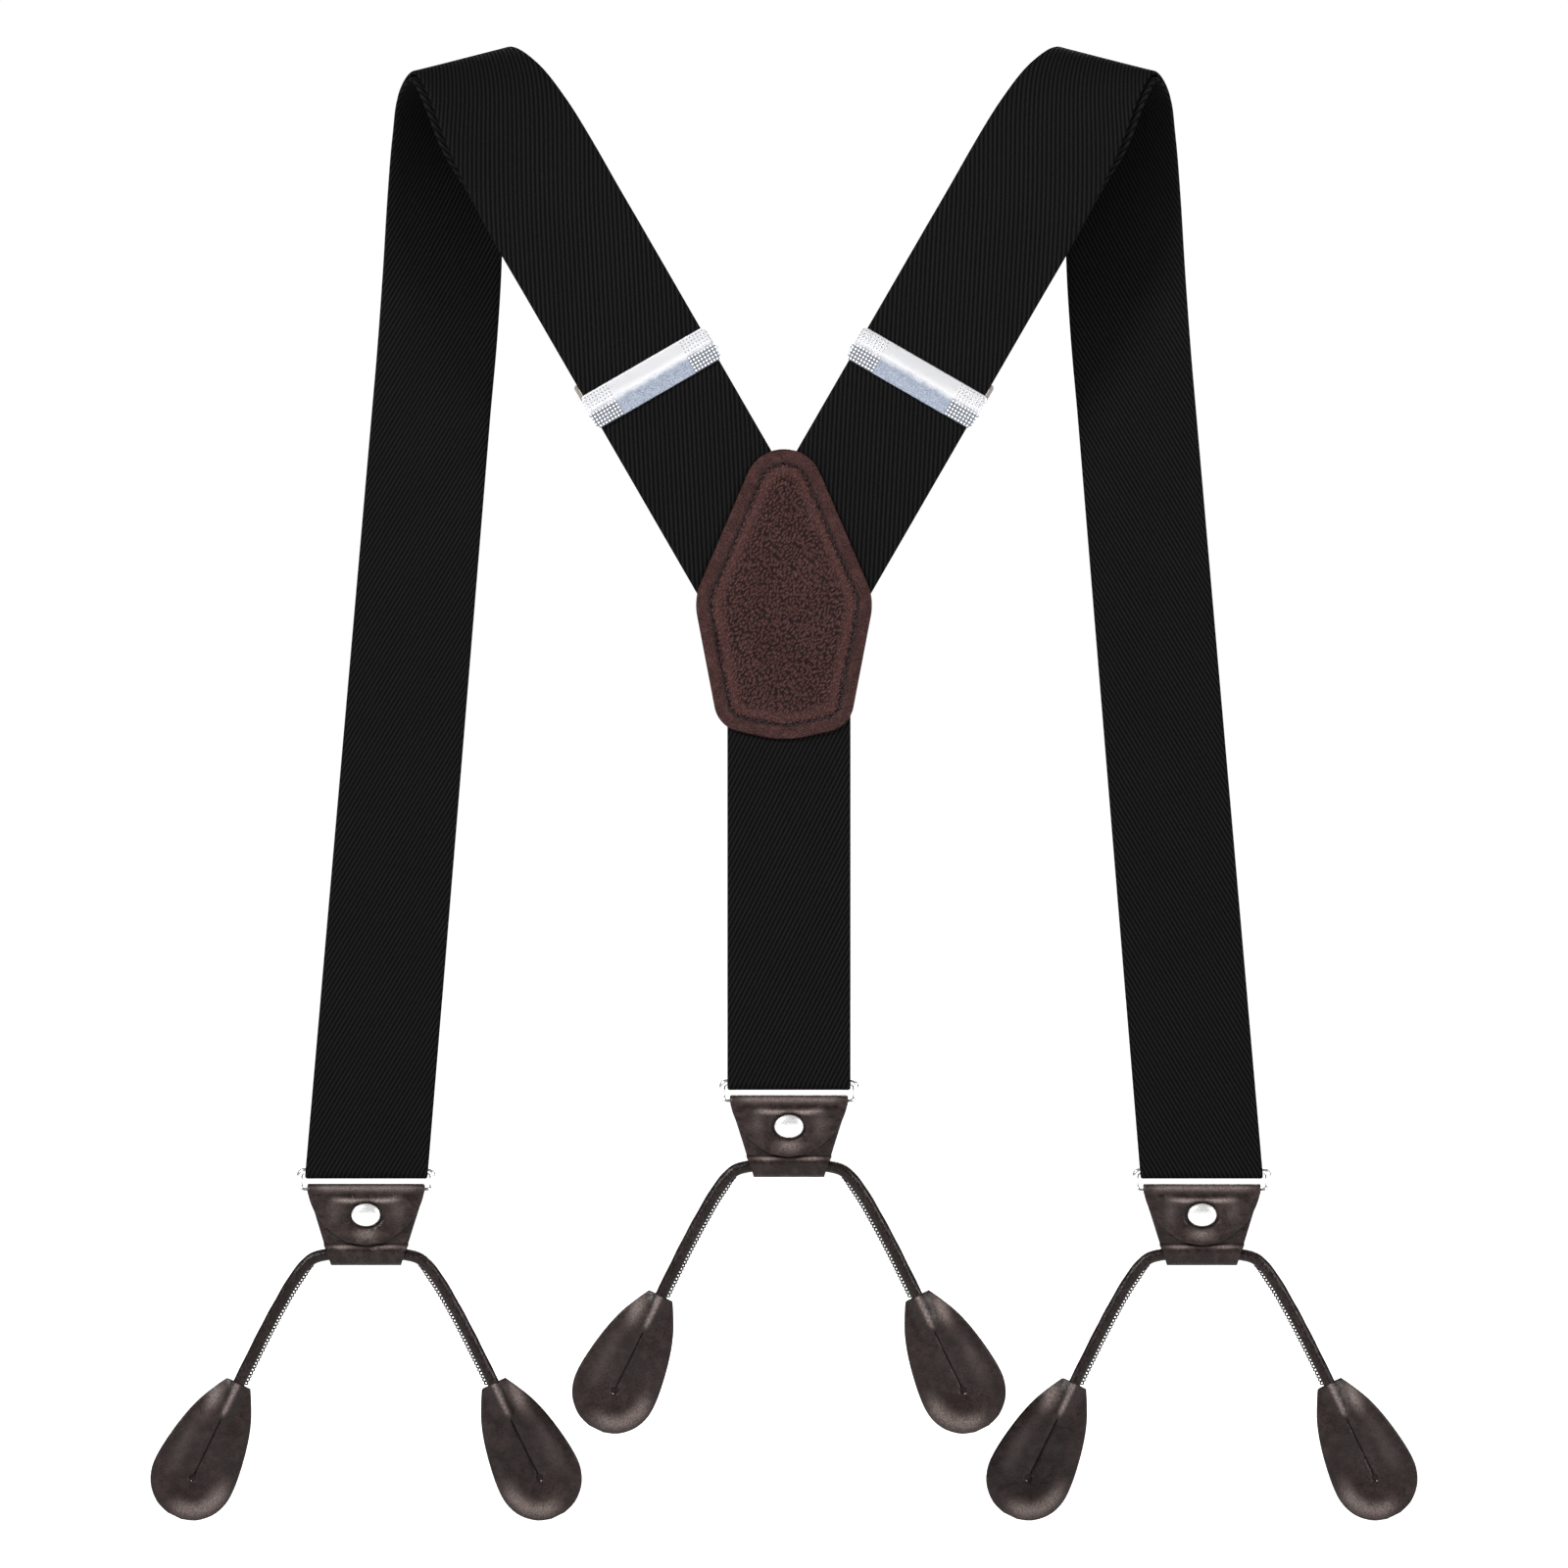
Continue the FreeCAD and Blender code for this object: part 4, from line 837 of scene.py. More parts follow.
def inside(points, loop):
    points, start = np.array(points, float), np.array(loop, float)
    end = np.roll(start, -1, axis=0)
    crossings = np.zeros(len(points), int)
    for (x1, y1), (x2, y2) in zip(start, end):
        spans = (y1 > points[:, 1]) != (y2 > points[:, 1])
        if not spans.any():
            continue
        at = x1 + (points[:, 1] - y1) * (x2 - x1) / (y2 - y1 if y2 != y1 else 1e-12)
        crossings += spans & (points[:, 0] < at)
    return crossings % 2 == 1


def inset_loop(loop, depth):
    """The loop moved inwards, for a loop that runs anticlockwise."""
    loop = np.array(loop, float)
    along = np.roll(loop, -1, axis=0) - np.roll(loop, 1, axis=0)
    along /= np.linalg.norm(along, axis=1)[:, None]
    return loop + np.stack([-along[:, 1], along[:, 0]], axis=1) * depth


def spaced(loop, spacing):
    """The loop's points again at an even spacing."""
    loop = np.array(loop, float)
    closed = np.vstack([loop, loop[:1]])
    lengths = np.concatenate([[0], np.cumsum(np.linalg.norm(np.diff(closed, axis=0), axis=1))])
    count = max(8, round(lengths[-1] / spacing))
    places = np.linspace(0, lengths[-1], count, endpoint=False)
    return np.stack([np.interp(places, lengths, closed[:, axis]) for axis in (0, 1)], axis=1)


def anticlockwise(loop):
    loop = np.array(loop, float)
    x, y = loop[:, 0], loop[:, 1]
    area = np.sum(x * np.roll(y, -1) - y * np.roll(x, -1))
    return loop if area > 0 else loop[::-1]


def flat_mesh(outer, holes, insets, spacing, fill_from):
    """A flat triangle mesh inside a loop, with rows of points that follow its edges."""
    outer = anticlockwise(outer)
    points, edges = [], []
    loops = [outer] + [anticlockwise(hole) for hole in holes]
    for loop in loops:
        base = len(points)
        points += [tuple(p) for p in loop]
        edges += [(base + i, base + (i + 1) % len(loop)) for i in range(len(loop))]
    rows = [inset_loop(outer, depth) for depth in insets]
    rows += [inset_loop(hole, -depth) for hole in loops[1:] for depth in insets[:3]]
    for depth, row in zip(list(insets) + list(insets[:3]) * len(holes), rows):
        keep = inside(row, outer) & (distances(row, outer) > depth * 0.97 - 1e-6)
        for hole in loops[1:]:
            keep &= ~inside(row, hole) & (distances(row, hole) > min(depth, insets[0]) * 0.9)
        points += [tuple(p) for p in row[keep]]
    low, high = outer.min(axis=0), outer.max(axis=0)
    fill = []
    row_count = int((high[1] - low[1]) / (spacing * 0.866)) + 1
    for row in range(row_count):
        start = low[0] + (spacing / 2 if row % 2 else 0)
        for x in np.arange(start, high[0], spacing):
            fill.append((x, low[1] + row * spacing * 0.866))
    fill = np.array(fill)
    keep = inside(fill, outer) & (distances(fill, outer) > fill_from)
    for hole in loops[1:]:
        keep &= ~inside(fill, hole) & (distances(fill, hole) > spacing * 0.7)
    points += [tuple(p) for p in fill[keep]]
    made = delaunay_2d_cdt([Vector(p) for p in points], edges, [], 1, 1e-6)
    flat = np.array([tuple(v) for v in made[0]], float)
    faces = [tuple(face) for face in made[2]]
    middles = np.array([flat[list(face)].mean(axis=0) for face in faces])
    keep = inside(middles, outer)
    for hole in loops[1:]:
        keep &= ~inside(middles, hole)
    return flat, [face for face, good in zip(faces, keep) if good], loops


def border_edges(faces):
    """Edges that only one face uses, in that face's direction."""
    seen = {}
    for face in faces:
        for a, b in zip(face, face[1:] + face[:1]):
            seen[(a, b)] = seen.get((a, b), 0) + 1
    return [(a, b) for a, b in seen if (b, a) not in seen]


def slab(flat, faces, front, back, lay):
    """A closed piece from a flat mesh: front and back are each point's depths; lay places them."""
    count = len(flat)
    points = [lay(x, depth, y) for (x, y), depth in zip(flat, front)]
    points += [lay(x, depth, y) for (x, y), depth in zip(flat, back)]
    all_faces = list(faces) + [tuple(index + count for index in reversed(face)) for face in faces]
    walls = [(b, a, a + count, b + count) for a, b in border_edges(faces)]
    return points, all_faces + walls, range(len(all_faces), len(all_faces) + len(walls))


def hill(value, middle, spread):
    """1 at the middle, and less to both sides, in a bell."""
    return np.exp(-((value - middle) / spread) ** 2)


def smooth_step(value, low, high):
    share = np.clip((np.asarray(value, float) - low) / (high - low), 0, 1)
    return share * share * (3 - 2 * share)


def rounded(distance, radius):
    """How far a rounded edge falls below the face, at a distance in from the border."""
    inner = np.clip(1 - np.asarray(distance, float) / radius, 0, 1)
    return radius * (1 - np.sqrt(np.clip(1 - inner**2, 0, 1)))


# ---------------------------------------------------------------- patch


def patch_loop():
    corners = [PATCH_OUTLINE[0]] + PATCH_OUTLINE[1:-1] + [PATCH_OUTLINE[-1]]
    corners += [(-half, height, radius) for half, height, radius in reversed(PATCH_OUTLINE[1:-1])]
    loop = []
    count = len(corners)
    for i in range(count):
        point = np.array(corners[i][:2])
        before = np.array(corners[i - 1][:2]) - point
        after = np.array(corners[(i + 1) % count][:2]) - point
        before, after = before / np.linalg.norm(before), after / np.linalg.norm(after)
        half = math.acos(float(np.clip(before @ after, -1, 1))) / 2
        radius = corners[i][2]
        middle_line = (before + after) / np.linalg.norm(before + after)
        middle = point + middle_line * radius / math.sin(half)
        start, end = point + before * radius / math.tan(half), point + after * radius / math.tan(half)
        first = math.atan2(*(start - middle)[::-1])
        sweep = math.atan2(*(end - middle)[::-1]) - first
        sweep = (sweep + math.pi) % (2 * math.pi) - math.pi
        loop += [middle + radius * np.array([math.cos(first + sweep * s), math.sin(first + sweep * s)])
                 for s in np.linspace(0, 1, 14)]
    return anticlockwise(spaced(loop, 0.9))


def webbing_cover(points):
    """How far each point lies outside the webbing under the patch; 0 where there is webbing."""
    x, z = np.abs(points[:, 0]), points[:, 1]
    start = FOLD_STATIONS[0]
    off = (-x - start[0]) * math.cos(BACK_ANGLE) + (z - start[2]) * math.sin(BACK_ANGLE)
    diagonal = np.maximum(np.abs(off) - start[5] / 2, np.maximum(BACK_END - z, 0))
    centre = np.maximum(np.abs(points[:, 0] - CENTRE["across"]) - WEBBING["width"] / 2, 0)
    centre = np.where(z > CENTRE["back_top"], 50.0, centre)
    return np.clip(np.minimum(diagonal, centre), 0, None)


CLOTH_FRAMES = 20


def inflate(piece, pinned, cap):
    """Swell the free part of a sheet with a short cloth simulation, and keep the result."""
    rest = np.array([v.co for v in piece.data.vertices], float)
    group = piece.vertex_groups.new(name="held")
    for index, share in enumerate(pinned):
        group.add([index], float(share), "REPLACE")
    modifier = piece.modifiers.new("Cloth", "CLOTH")
    settings = modifier.settings
    settings.quality = 6
    settings.mass = 0.4
    settings.vertex_group_mass = "held"
    settings.pin_stiffness = 1.0
    settings.use_pressure = True
    settings.uniform_pressure_force = 4.0
    settings.tension_stiffness = settings.compression_stiffness = 6
    settings.shear_stiffness, settings.bending_stiffness = 5, 2.0
    settings.effector_weights.gravity = 0
    modifier.point_cache.frame_start, modifier.point_cache.frame_end = 1, CLOTH_FRAMES
    for number in range(1, CLOTH_FRAMES + 1):
        bpy.context.scene.frame_set(number)
    evaluated = piece.evaluated_get(bpy.context.evaluated_depsgraph_get())
    swollen = np.array([v.co for v in evaluated.data.vertices], float)
    piece.modifiers.remove(modifier)
    piece.vertex_groups.remove(group)
    bpy.context.scene.frame_set(1)
    move = swollen - rest
    length = np.linalg.norm(move, axis=1)
    limit = np.minimum(1.0, cap * MM / np.maximum(length, 1e-9))
    return (rest + move * limit[:, None]) / MM


PATCH_SEAT, PATCH_FACE = -10.15, -11.35
BACKING_FACE, BACKING_BACK = -7.45, -6.45
STITCH_INSET, STITCH_PITCH = 3.85, 2.25
LEATHER_DIP = 2.6  # how far outside the webbing the two leathers meet


def nearest(flat, places):
    return [int(np.argmin(np.linalg.norm(flat - np.array(place), axis=1))) for place in places]


def patch():
    loop = patch_loop()
    insets = (0.12, 0.35, 0.7, 1.2, 1.9, 2.7, 3.35, 3.85, 4.35, 4.9, 5.6, 6.4, 7.4, 8.5)
    flat, faces, loops = flat_mesh(loop, [], insets, 1.25, 9.2)
    inward = distances(flat, loops[0])
    outside = webbing_cover(flat)
    drop = 1.28 * smooth_step(outside, 0.0, LEATHER_DIP)
    groove = 0.42 * hill(inward, STITCH_INSET, 0.42)
    start_crown = 0.75 * smooth_step(inward, STITCH_INSET + 0.3, 9.5)
    front = PATCH_FACE + drop + rounded(inward, 0.6) + groove - start_crown
    points = [(x, depth, z) for (x, z), depth in zip(flat, front)]
    free = smooth_step(inward, STITCH_INSET + 0.15, STITCH_INSET + 2.2)
    turned = [face[::-1] for face in faces]
    sheet = new_piece("patch_sheet", points, turned, "patch", "patch_leather")
    swollen = inflate(sheet, 1.0 - free, 1.6)
    bpy.data.objects.remove(sheet)
    flat = np.where(free[:, None] > 0, swollen[:, [0, 2]], flat)
    front = np.where(free > 0, swollen[:, 1], front)
    back = PATCH_SEAT + drop - rounded(inward, 0.5) * 0.6
    points, all_faces, _ = slab(flat, faces, front, back, lambda x, y, z: (x, y, z))
    rim = [i for i, face in enumerate(all_faces)
           if np.mean([inward[index % len(flat)] for index in face]) < STITCH_INSET]
    texture = [(value, 0.0) for value in inward] * 2
    piece = new_piece("patch_pad", points, all_faces, "patch", "patch_leather", texture, sharp=60,
                      second="rim", picks=rim)
    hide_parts("patch_front", "patch_filler")
    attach(piece, "root")

    line = spaced(inset_loop(loop, STITCH_INSET), 0.5)
    near = nearest(flat, line)
    line = [Vector((x, front[index] - 0.02, z)) for (x, z), index in zip(line, near)]
    points, faces_made = stitches(line + line[:1], STITCH_PITCH, share=0.66, radius=0.36,
                                  lift=(0, -0.16, 0), sway=0.16)
    thread = new_piece("patch_thread", points, faces_made, "thread", "thread")
    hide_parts("patch_stitching")
    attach(thread, "root")

    flat, faces, loops = flat_mesh(loop, [], (0.12, 0.35, 0.8, 1.6, 2.6, STITCH_INSET, 5.0), 2.0, 6.0)
    inward = distances(flat, loops[0])
    lift = 1.38 * smooth_step(webbing_cover(flat), 0.0, LEATHER_DIP)
    behind = BACKING_BACK - lift - rounded(inward, 0.5) - 0.3 * hill(inward, STITCH_INSET, 0.45)
    ahead = BACKING_FACE - lift + rounded(inward, 0.5) * 0.5
    points, all_faces, _ = slab(flat, faces, ahead, behind, lambda x, y, z: (x, y, z))
    piece = new_piece("patch_backing", points, all_faces, "rim", "patch_leather", sharp=60)
    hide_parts("patch_back")
    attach(piece, "root")
    near = nearest(flat, [(p.x, p.z) for p in line])
    line = [Vector((p.x, behind[index] + 0.05, p.z)) for p, index in zip(line, near)]
    points, faces_made = stitches(line + line[:1], STITCH_PITCH, share=0.62, radius=0.26,
                                  lift=(0, 0.02, 0))
    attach(new_piece("patch_back_thread", points, faces_made, "thread", "thread"), "root")


# ---------------------------------------------------------------- adjusters


def dot_lines(start, count, pitch):
    """Grid places and rises across a row of raised squares."""
    places, rises = [], []
    for number in range(count):
        for share, rise in ((0.0, 0), (0.18, 0), (0.27, 1), (0.73, 1), (0.82, 0)):
            places.append(start + (number + share) * pitch)
            rises.append(rise)
    return places + [start + count * pitch], rises + [0]


def adjuster(name):
    middle, across, up = adjuster_frame(name)
    left, left_rise = dot_lines(-PLATE_HALF + PLATE_MARGIN, DOT_COLUMNS, DOT_PITCH)
    right, right_rise = dot_lines(-left[-1], DOT_COLUMNS, DOT_PITCH)
    plain = list(np.linspace(left[-1], -left[-1], 16))[1:-1]
    ends = [-PLATE_HALF, -PLATE_HALF + 0.12, -PLATE_HALF + 0.3]
    xs = ends + left + plain + right + [-x for x in reversed(ends)]
    x_rise = [0] * 3 + left_rise + [0] * len(plain) + right_rise + [0] * 3
    zs, z_rise = dot_lines(-PLATE_HALF_HEIGHT + 0.1, DOT_ROWS, DOT_PITCH)
    zs, z_rise = [-PLATE_HALF_HEIGHT] + zs + [zs[-1] + 0.1, PLATE_HALF_HEIGHT], [0] + z_rise + [0, 0]
    points, texture = [], []
    for layer in (0, 1):
        for z, rise_z in zip(zs, z_rise):
            # the corners are rounded by drawing the ends in near the long edges
            beyond = max(0.0, abs(z) - (PLATE_HALF_HEIGHT - PLATE_CORNER))
            pull = PLATE_CORNER - math.sqrt(max(PLATE_CORNER**2 - beyond**2, 0.0))
            for x, rise_x in zip(xs, x_rise):
                inner = PLATE_HALF - 2.4
                if abs(x) > inner:
                    reach = (abs(x) - inner) / (PLATE_HALF - inner) * (PLATE_HALF - pull - inner)
                    x_in = math.copysign(inner + reach, x)
                else:
                    x_in = x
                depth = -(1.3 + PLATE_BULGE * (1 - (z / PLATE_HALF_HEIGHT) ** 2))
                border = min(PLATE_HALF_HEIGHT - abs(z), PLATE_HALF - pull - abs(x_in))
                edge = rounded([border], PLATE_LIP)[0]
                depth += PLATE_THICKNESS - edge * 0.4 if layer else edge - 0.16 * rise_x * rise_z
                points.append(middle + across * x_in + up * z + deep(depth))
                texture.append((x, z))
    count = len(xs) * len(zs)
    front = grid_faces(len(zs), len(xs))
    faces = front + [tuple(index + count for index in reversed(face)) for face in front]
    faces += [(b, a, a + count, b + count) for a, b in border_edges(front)]
    plate = new_piece(f"{name}_adjuster_face", points, faces, "plate", "nickel", texture, sharp=28)
    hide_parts(f"{name}_adjuster_plate")
    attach(plate, f"{name}_adjuster")

    outline = [(-1.35, -4.3), (-1.35, 4.3), (0.2, 4.1), (1.5, 3.4), (3.2, 2.0), (4.4, 0.6),
               (4.6, -1.6), (4.4, -3.4), (3.0, -4.6), (0.0, -4.7)]
    parts = []
    for end in (-1, 1):
        inner, outer = end * (PLATE_HALF - CHEEK_THICKNESS), end * PLATE_HALF
        ring_in = [middle + across * inner + up * z + deep(y) for y, z in outline]
        ring_out = [middle + across * outer + up * z + deep(y) for y, z in outline]
        count = len(outline)
        sides = [(i, (i + 1) % count, count + (i + 1) % count, count + i) for i in range(count)]
        parts.append((ring_in + ring_out, sides + [tuple(range(count)), tuple(range(count, 2 * count))]))
        hub = middle + up * -PIN_BELOW + deep(PIN_BEHIND)
        domes = []
        for radius, out in ((1.15, 0.0), (1.15, 0.25), (0.8, 0.42), (0.25, 0.5)):
            for step in range(16):
                angle = 2 * math.pi * step / 16
                spot = Vector((0, math.cos(angle) * radius, 0)) + up * math.sin(angle) * radius
                domes.append(hub + across * (outer + end * out) + spot)
        parts.append((domes, tube_faces(4, 16)))
    points, faces = join(parts)
    cheeks = new_piece(f"{name}_adjuster_cheeks", points, faces, "metal", "nickel")
    bevel = cheeks.modifiers.new("edges", "BEVEL")
    bevel.width, bevel.segments, bevel.limit_method = 0.18 * MM, 2, "ANGLE"
    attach(cheeks, f"{name}_adjuster")


def dress_cad_metal():
    """The CAD metal that stays: plating, and smooth round surfaces."""
    for node, piece in frame["nodes"].items():
        if node.endswith(("_ring", "_adjuster_pin", "_adjuster_lever", "_rivet_base", "_rivet_cap")):
            kinds = [kind for kind in ("rivet", "lever") if kind in node]
            slot_material = MATERIALS[kinds[0] if kinds else "metal"]
            piece.data.materials.clear()
            piece.data.materials.append(slot_material)
            piece.data.shade_smooth()
            piece.data.set_sharp_from_angle(angle=math.radians(35))
            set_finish(piece, "nickel")


# ---------------------------------------------------------------- tabs


TAB_TOP_HALF, TAB_FOOT_HALF, TAB_HEIGHT = 16.8, 12.0, 14.9
TAB_BACK_RUN = 14.5  # how far the leather comes down behind
# the ring pressed into the leather round the rivet's cap
CAP_HEIGHT, CAP_HALF_WIDTH, CAP_HALF_HEIGHT = -6.8, 4.3, 3.45


def tab_half(height):
    """Half the tab's width at a height below its bend; it narrows downwards."""
    return TAB_TOP_HALF + (TAB_TOP_HALF - TAB_FOOT_HALF) / TAB_HEIGHT * height


FLAP_EDGE = [(16.7, 0.0), (15.9, -3.0), (14.6, -6.0), (12.6, -9.0), (9.6, -12.0), (5.4, -14.5),
             (0.0, -15.5)]
BEND, LEATHER = 1.5, 1.1


def tab_outline():
    """The loop's leather laid flat, as across and the run up its front, over and down behind."""
    flap = dense_line(FLAP_EDGE, 4)
    over = math.pi * BEND
    behind = [(tab_half(-TAB_BACK_RUN), over + TAB_BACK_RUN), (FLAP_EDGE[0][0], over)]
    right = behind + [tuple(point) for point in flap]
    left = [(-x, run) for x, run in reversed(right)][1:]
    return anticlockwise(spaced(right + left, 0.6))


def tab_loop(name, origin):
    """Leather from behind, over the ring's bar, and down in front to the half-round flap."""
    over = math.pi * BEND

    def lay(x, off, run):
        if run < 0:
            return origin + Vector((x, -BEND - off, run))
        if run > over:
            return origin + Vector((x, BEND + off, over - run))
        angle = run / BEND
        return origin + Vector((x, -(BEND + off) * math.cos(angle), (BEND + off) * math.sin(angle)))

    flat, faces, loops = flat_mesh(tab_outline(), [], (0.1, 0.28, 0.55, 0.95, 1.5), 0.62, 1.8)
    border = distances(flat, loops[0])
    x, run = flat[:, 0], flat[:, 1]
    in_front = smooth_step(-run, -0.3, 0.6)
    bow = -2.35 - 0.5 * (1 - np.clip(np.abs(x) / 10, 0, 1) ** 2)
    crease = 0.42 * hill(run, -0.75, 0.32) * smooth_step(16.2 - np.abs(x), 0.0, 2.5)
    ridge = 0.42 * hill(run, bow, 0.75) * (1 - smooth_step(np.abs(x), 8.0, 12.5))
    cap = np.sqrt((x / CAP_HALF_WIDTH) ** 2 + ((run - CAP_HEIGHT) / CAP_HALF_HEIGHT) ** 2)
    ring = 0.5 * hill(cap, 1.0, 0.2) + 0.22 * hill(cap, 0.9, 0.75)
    pillow = 0.3 * np.exp(-((x / 7.0) ** 2 + ((run + 11.6) / 2.2) ** 2))
    flutes = 0.1 * hill(border, 0, 1.6) * (1 + np.sin(run * 2.6)) * in_front
    lift = 0.8 * smooth_step(-run, 12.4, 15.4)
    relief = (ridge - crease - ring + pillow) * in_front - flutes + lift
    outer = LEATHER / 2 + relief - rounded(border, 0.5)
    inner = -LEATHER / 2 + lift + rounded(border, 0.2) * 0.5
    points, all_faces, walls = slab(flat, faces, outer, inner, lay)
    count = len(flat)
    dark = [i for i, face in enumerate(all_faces)
            if i in walls or np.mean([border[index % count] for index in face]) < 0.2]
    # Painted highlights, laid on as paler leather: along the rolled top edge, on the bowed ridge, under the
    # rivet's cap and beside it.
    sides = 1 - smooth_step(np.abs(x), 11.0, 16.5)
    roll = 0.55 * hill(run, 0.7, 0.8) * (0.4 + 0.6 * sides)
    bowed = 0.8 * hill(run, bow, 0.7) * (1 - smooth_step(np.abs(x), 5.0, 11.5))
    under_cap = 0.5 * np.exp(-((x / 4.2) ** 2 + ((run + 12.2) / 2.4) ** 2))
    beside_cap = 0.26 * np.exp(-(((np.abs(x) - 9.0) / 2.6) ** 2 + ((run + 6.0) / 4.5) ** 2))
    painted_highlight = roll + (bowed + under_cap + beside_cap) * in_front * smooth_step(cap, 1.05, 1.35)
    texture = [(share, 0) for share in (*painted_highlight, *painted_highlight)]
    piece = new_piece(f"{name}_tab", points, all_faces, "tab", "tab_leather", texture, sharp=75,
                      second="edge", picks=dark)
    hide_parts(f"{name}_tab_loop")
    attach(piece, f"{name}_tab")


SLEEVE_RISE, SLEEVE_LIP = 2.6, 3.8  # the sleeve's reach above and below the cord's middle
SLEEVE_BORE = 1.78


def tab_sleeve(name, origin, axis_height):
    """The rolled sleeve with slanting mouths, and the plies that rise from it into the tab."""
    steps, rings = 48, 33
    outer_points, inner_points, texture = [], [], []
    for ring in range(rings):
        share = -1 + 2 * ring / (rings - 1)
        for step in range(steps):
            angle = 2 * math.pi * step / steps
            reach = 11.0 + 1.05 * math.sin(angle)
            high, back = math.sin(angle), math.cos(angle)
            lobes = 0.22 * (math.cos(2 * math.pi * share * 1.25) - 0.3) * max(0.0, -back)
            lobes *= 0.6 + 0.4 * high
            fold = 0.28 * math.exp(-((high + 0.55) / 0.16) ** 2) * max(0.0, -back)
            swell = 2.52 - 0.1 * share**4 - lobes - fold
            height = axis_height + high * (SLEEVE_RISE if high > 0 else SLEEVE_LIP)
            outer_points.append(origin + Vector((share * reach, swell * back, height)))
            # Painted highlight, laid on as paler leather: two lobes along the front of the sleeve's top.
            two_lobes = 0.3 + 0.7 * math.exp(-((abs(share) - 0.55) / 0.25) ** 2)
            painted_highlight = 0.85 * two_lobes * math.exp(-((high - 0.62) / 0.24) ** 2) * max(0.0, -back)
            texture.append((painted_highlight, 0))
            bore_height = axis_height + SLEEVE_BORE * high
            inner_points.append(origin + Vector((share * (reach - 0.02), SLEEVE_BORE * back, bore_height)))
    count = rings * steps
    outside = grid_faces(rings, steps, closed=True)
    faces = outside + [tuple(index + count for index in reversed(face)) for face in outside]
    walls = []
    for row in (0, rings - 1):
        base = row * steps
        for step in range(steps):
            beside = (step + 1) % steps
            walls.append((base + step, base + beside, base + beside + count, base + step + count))
    points, all_faces = outer_points + inner_points, faces + walls

    wide, narrow = tab_half(-3.2) - 0.2, 12.1
    loop = spaced([(-wide, -3.2), (-narrow, -14.6), (-narrow + 0.4, -15.6), (narrow - 0.4, -15.6),
                   (narrow, -14.6), (wide, -3.2)], 0.9)
    flat, flat_faces, loops = flat_mesh(loop, [], (0.15, 0.4, 0.8), 1.6, 1.4)
    edge = rounded(distances(flat, loops[0]), 0.45)
    plies = slab(flat, flat_faces, -0.9 + edge, 0.9 - edge, lambda x, y, z: origin + Vector((x, y, z)))
    points, all_faces = join([(points, all_faces), plies[:2]])
    texture += [(0, 0)] * (len(points) - len(texture))
    picks = range(len(faces), len(faces) + len(walls))
    piece = new_piece(f"{name}_sleeve", points, all_faces, "tab", "tab_leather", texture, sharp=45,
                      second="edge", picks=picks)
    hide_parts(f"{name}_tab_sleeve")
    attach(piece, f"{name}_tab")


# ---------------------------------------------------------------- cords


def route_points(route):
    """The smooth line of a NURBS spline through the route's control points."""
    data = bpy.data.curves.new("route", "CURVE")
    data.dimensions = "3D"
    data.resolution_u = 24
    spline = data.splines.new("NURBS")
    spline.points.add(len(route) - 1)
    for point, place in zip(spline.points, route):
        point.co = (*place, 1.0)
    spline.order_u = 3
    spline.use_endpoint_u = True
    line = bpy.data.objects.new("route", data)
    bpy.context.scene.collection.objects.link(line)
    bpy.context.view_layer.update()
    mesh = bpy.data.meshes.new_from_object(line.evaluated_get(bpy.context.evaluated_depsgraph_get()))
    points = [vertex.co.copy() / MM for vertex in mesh.vertices]
    bpy.data.objects.remove(line)
    bpy.data.meshes.remove(mesh)
    return points


SEAM_START, SEAM_PITCH = 17.0, 1.05


def cord(name, ear_name, side, sleeve):
    """Half of the cord: rolled leather with a scalloped seam along its inner side."""
    route = [sleeve * MM + Vector((side * across, 0, height)) for across, height in CORD_ROUTE]
    line = route_points(route)
    steps = 20
    points = []
    for i, middle in enumerate(line):
        along = (line[min(i + 1, len(line) - 1)] - line[max(i - 1, 0)]).normalized()
        inward, back = along.cross(deep(1)) * side, deep(1)
        for step in range(steps):
            angle = 2 * math.pi * step / steps
            radius = CORD_RADIUS * (1 + 0.02 * math.sin(3 * angle + i * 0.35))
            points.append(middle + (inward * math.cos(angle) + back * math.sin(angle)) * radius)
    faces = tube_faces(len(line), steps)
    tube = new_piece(f"{name}_{ear_name}_cord", points, faces, "cord", "cord_leather", sharp=80)

    lengths = running_lengths(line)
    loops, place = [], SEAM_START
    while place < lengths[-1] - 0.3:
        index = min(int(np.searchsorted(lengths, place)), len(line) - 1)
        start, end = line[index - 1], line[index]
        along = (end - start).normalized()
        inward = along.cross(deep(1))
        inward = -inward if inward.z > 0 else inward
        share = (place - lengths[index - 1]) / max(lengths[index] - lengths[index - 1], 1e-9)
        root = start.lerp(end, share) + inward * (CORD_RADIUS - 0.2)
        swell = float(smooth_step(place, 16.0, 22.0))
        arch = [root + along * 0.48 * math.cos(a) + inward * (0.25 + 0.6 * swell) * math.sin(a)
                for a in np.radians(np.linspace(0, 180, 9))]
        loops.append(tube_along(arch, 0.21))
        place += SEAM_PITCH
    loop_points, loop_faces = join(loops)
    seam = new_piece(f"{name}_{ear_name}_cord_seam", loop_points, loop_faces, "cord", "cord_leather")
    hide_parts(f"{name}_cord")
    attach(tube, f"{name}_ears")
    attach(seam, f"{name}_ears")
    return tube, seam, line, lengths[-1]


# ---------------------------------------------------------------- button ends


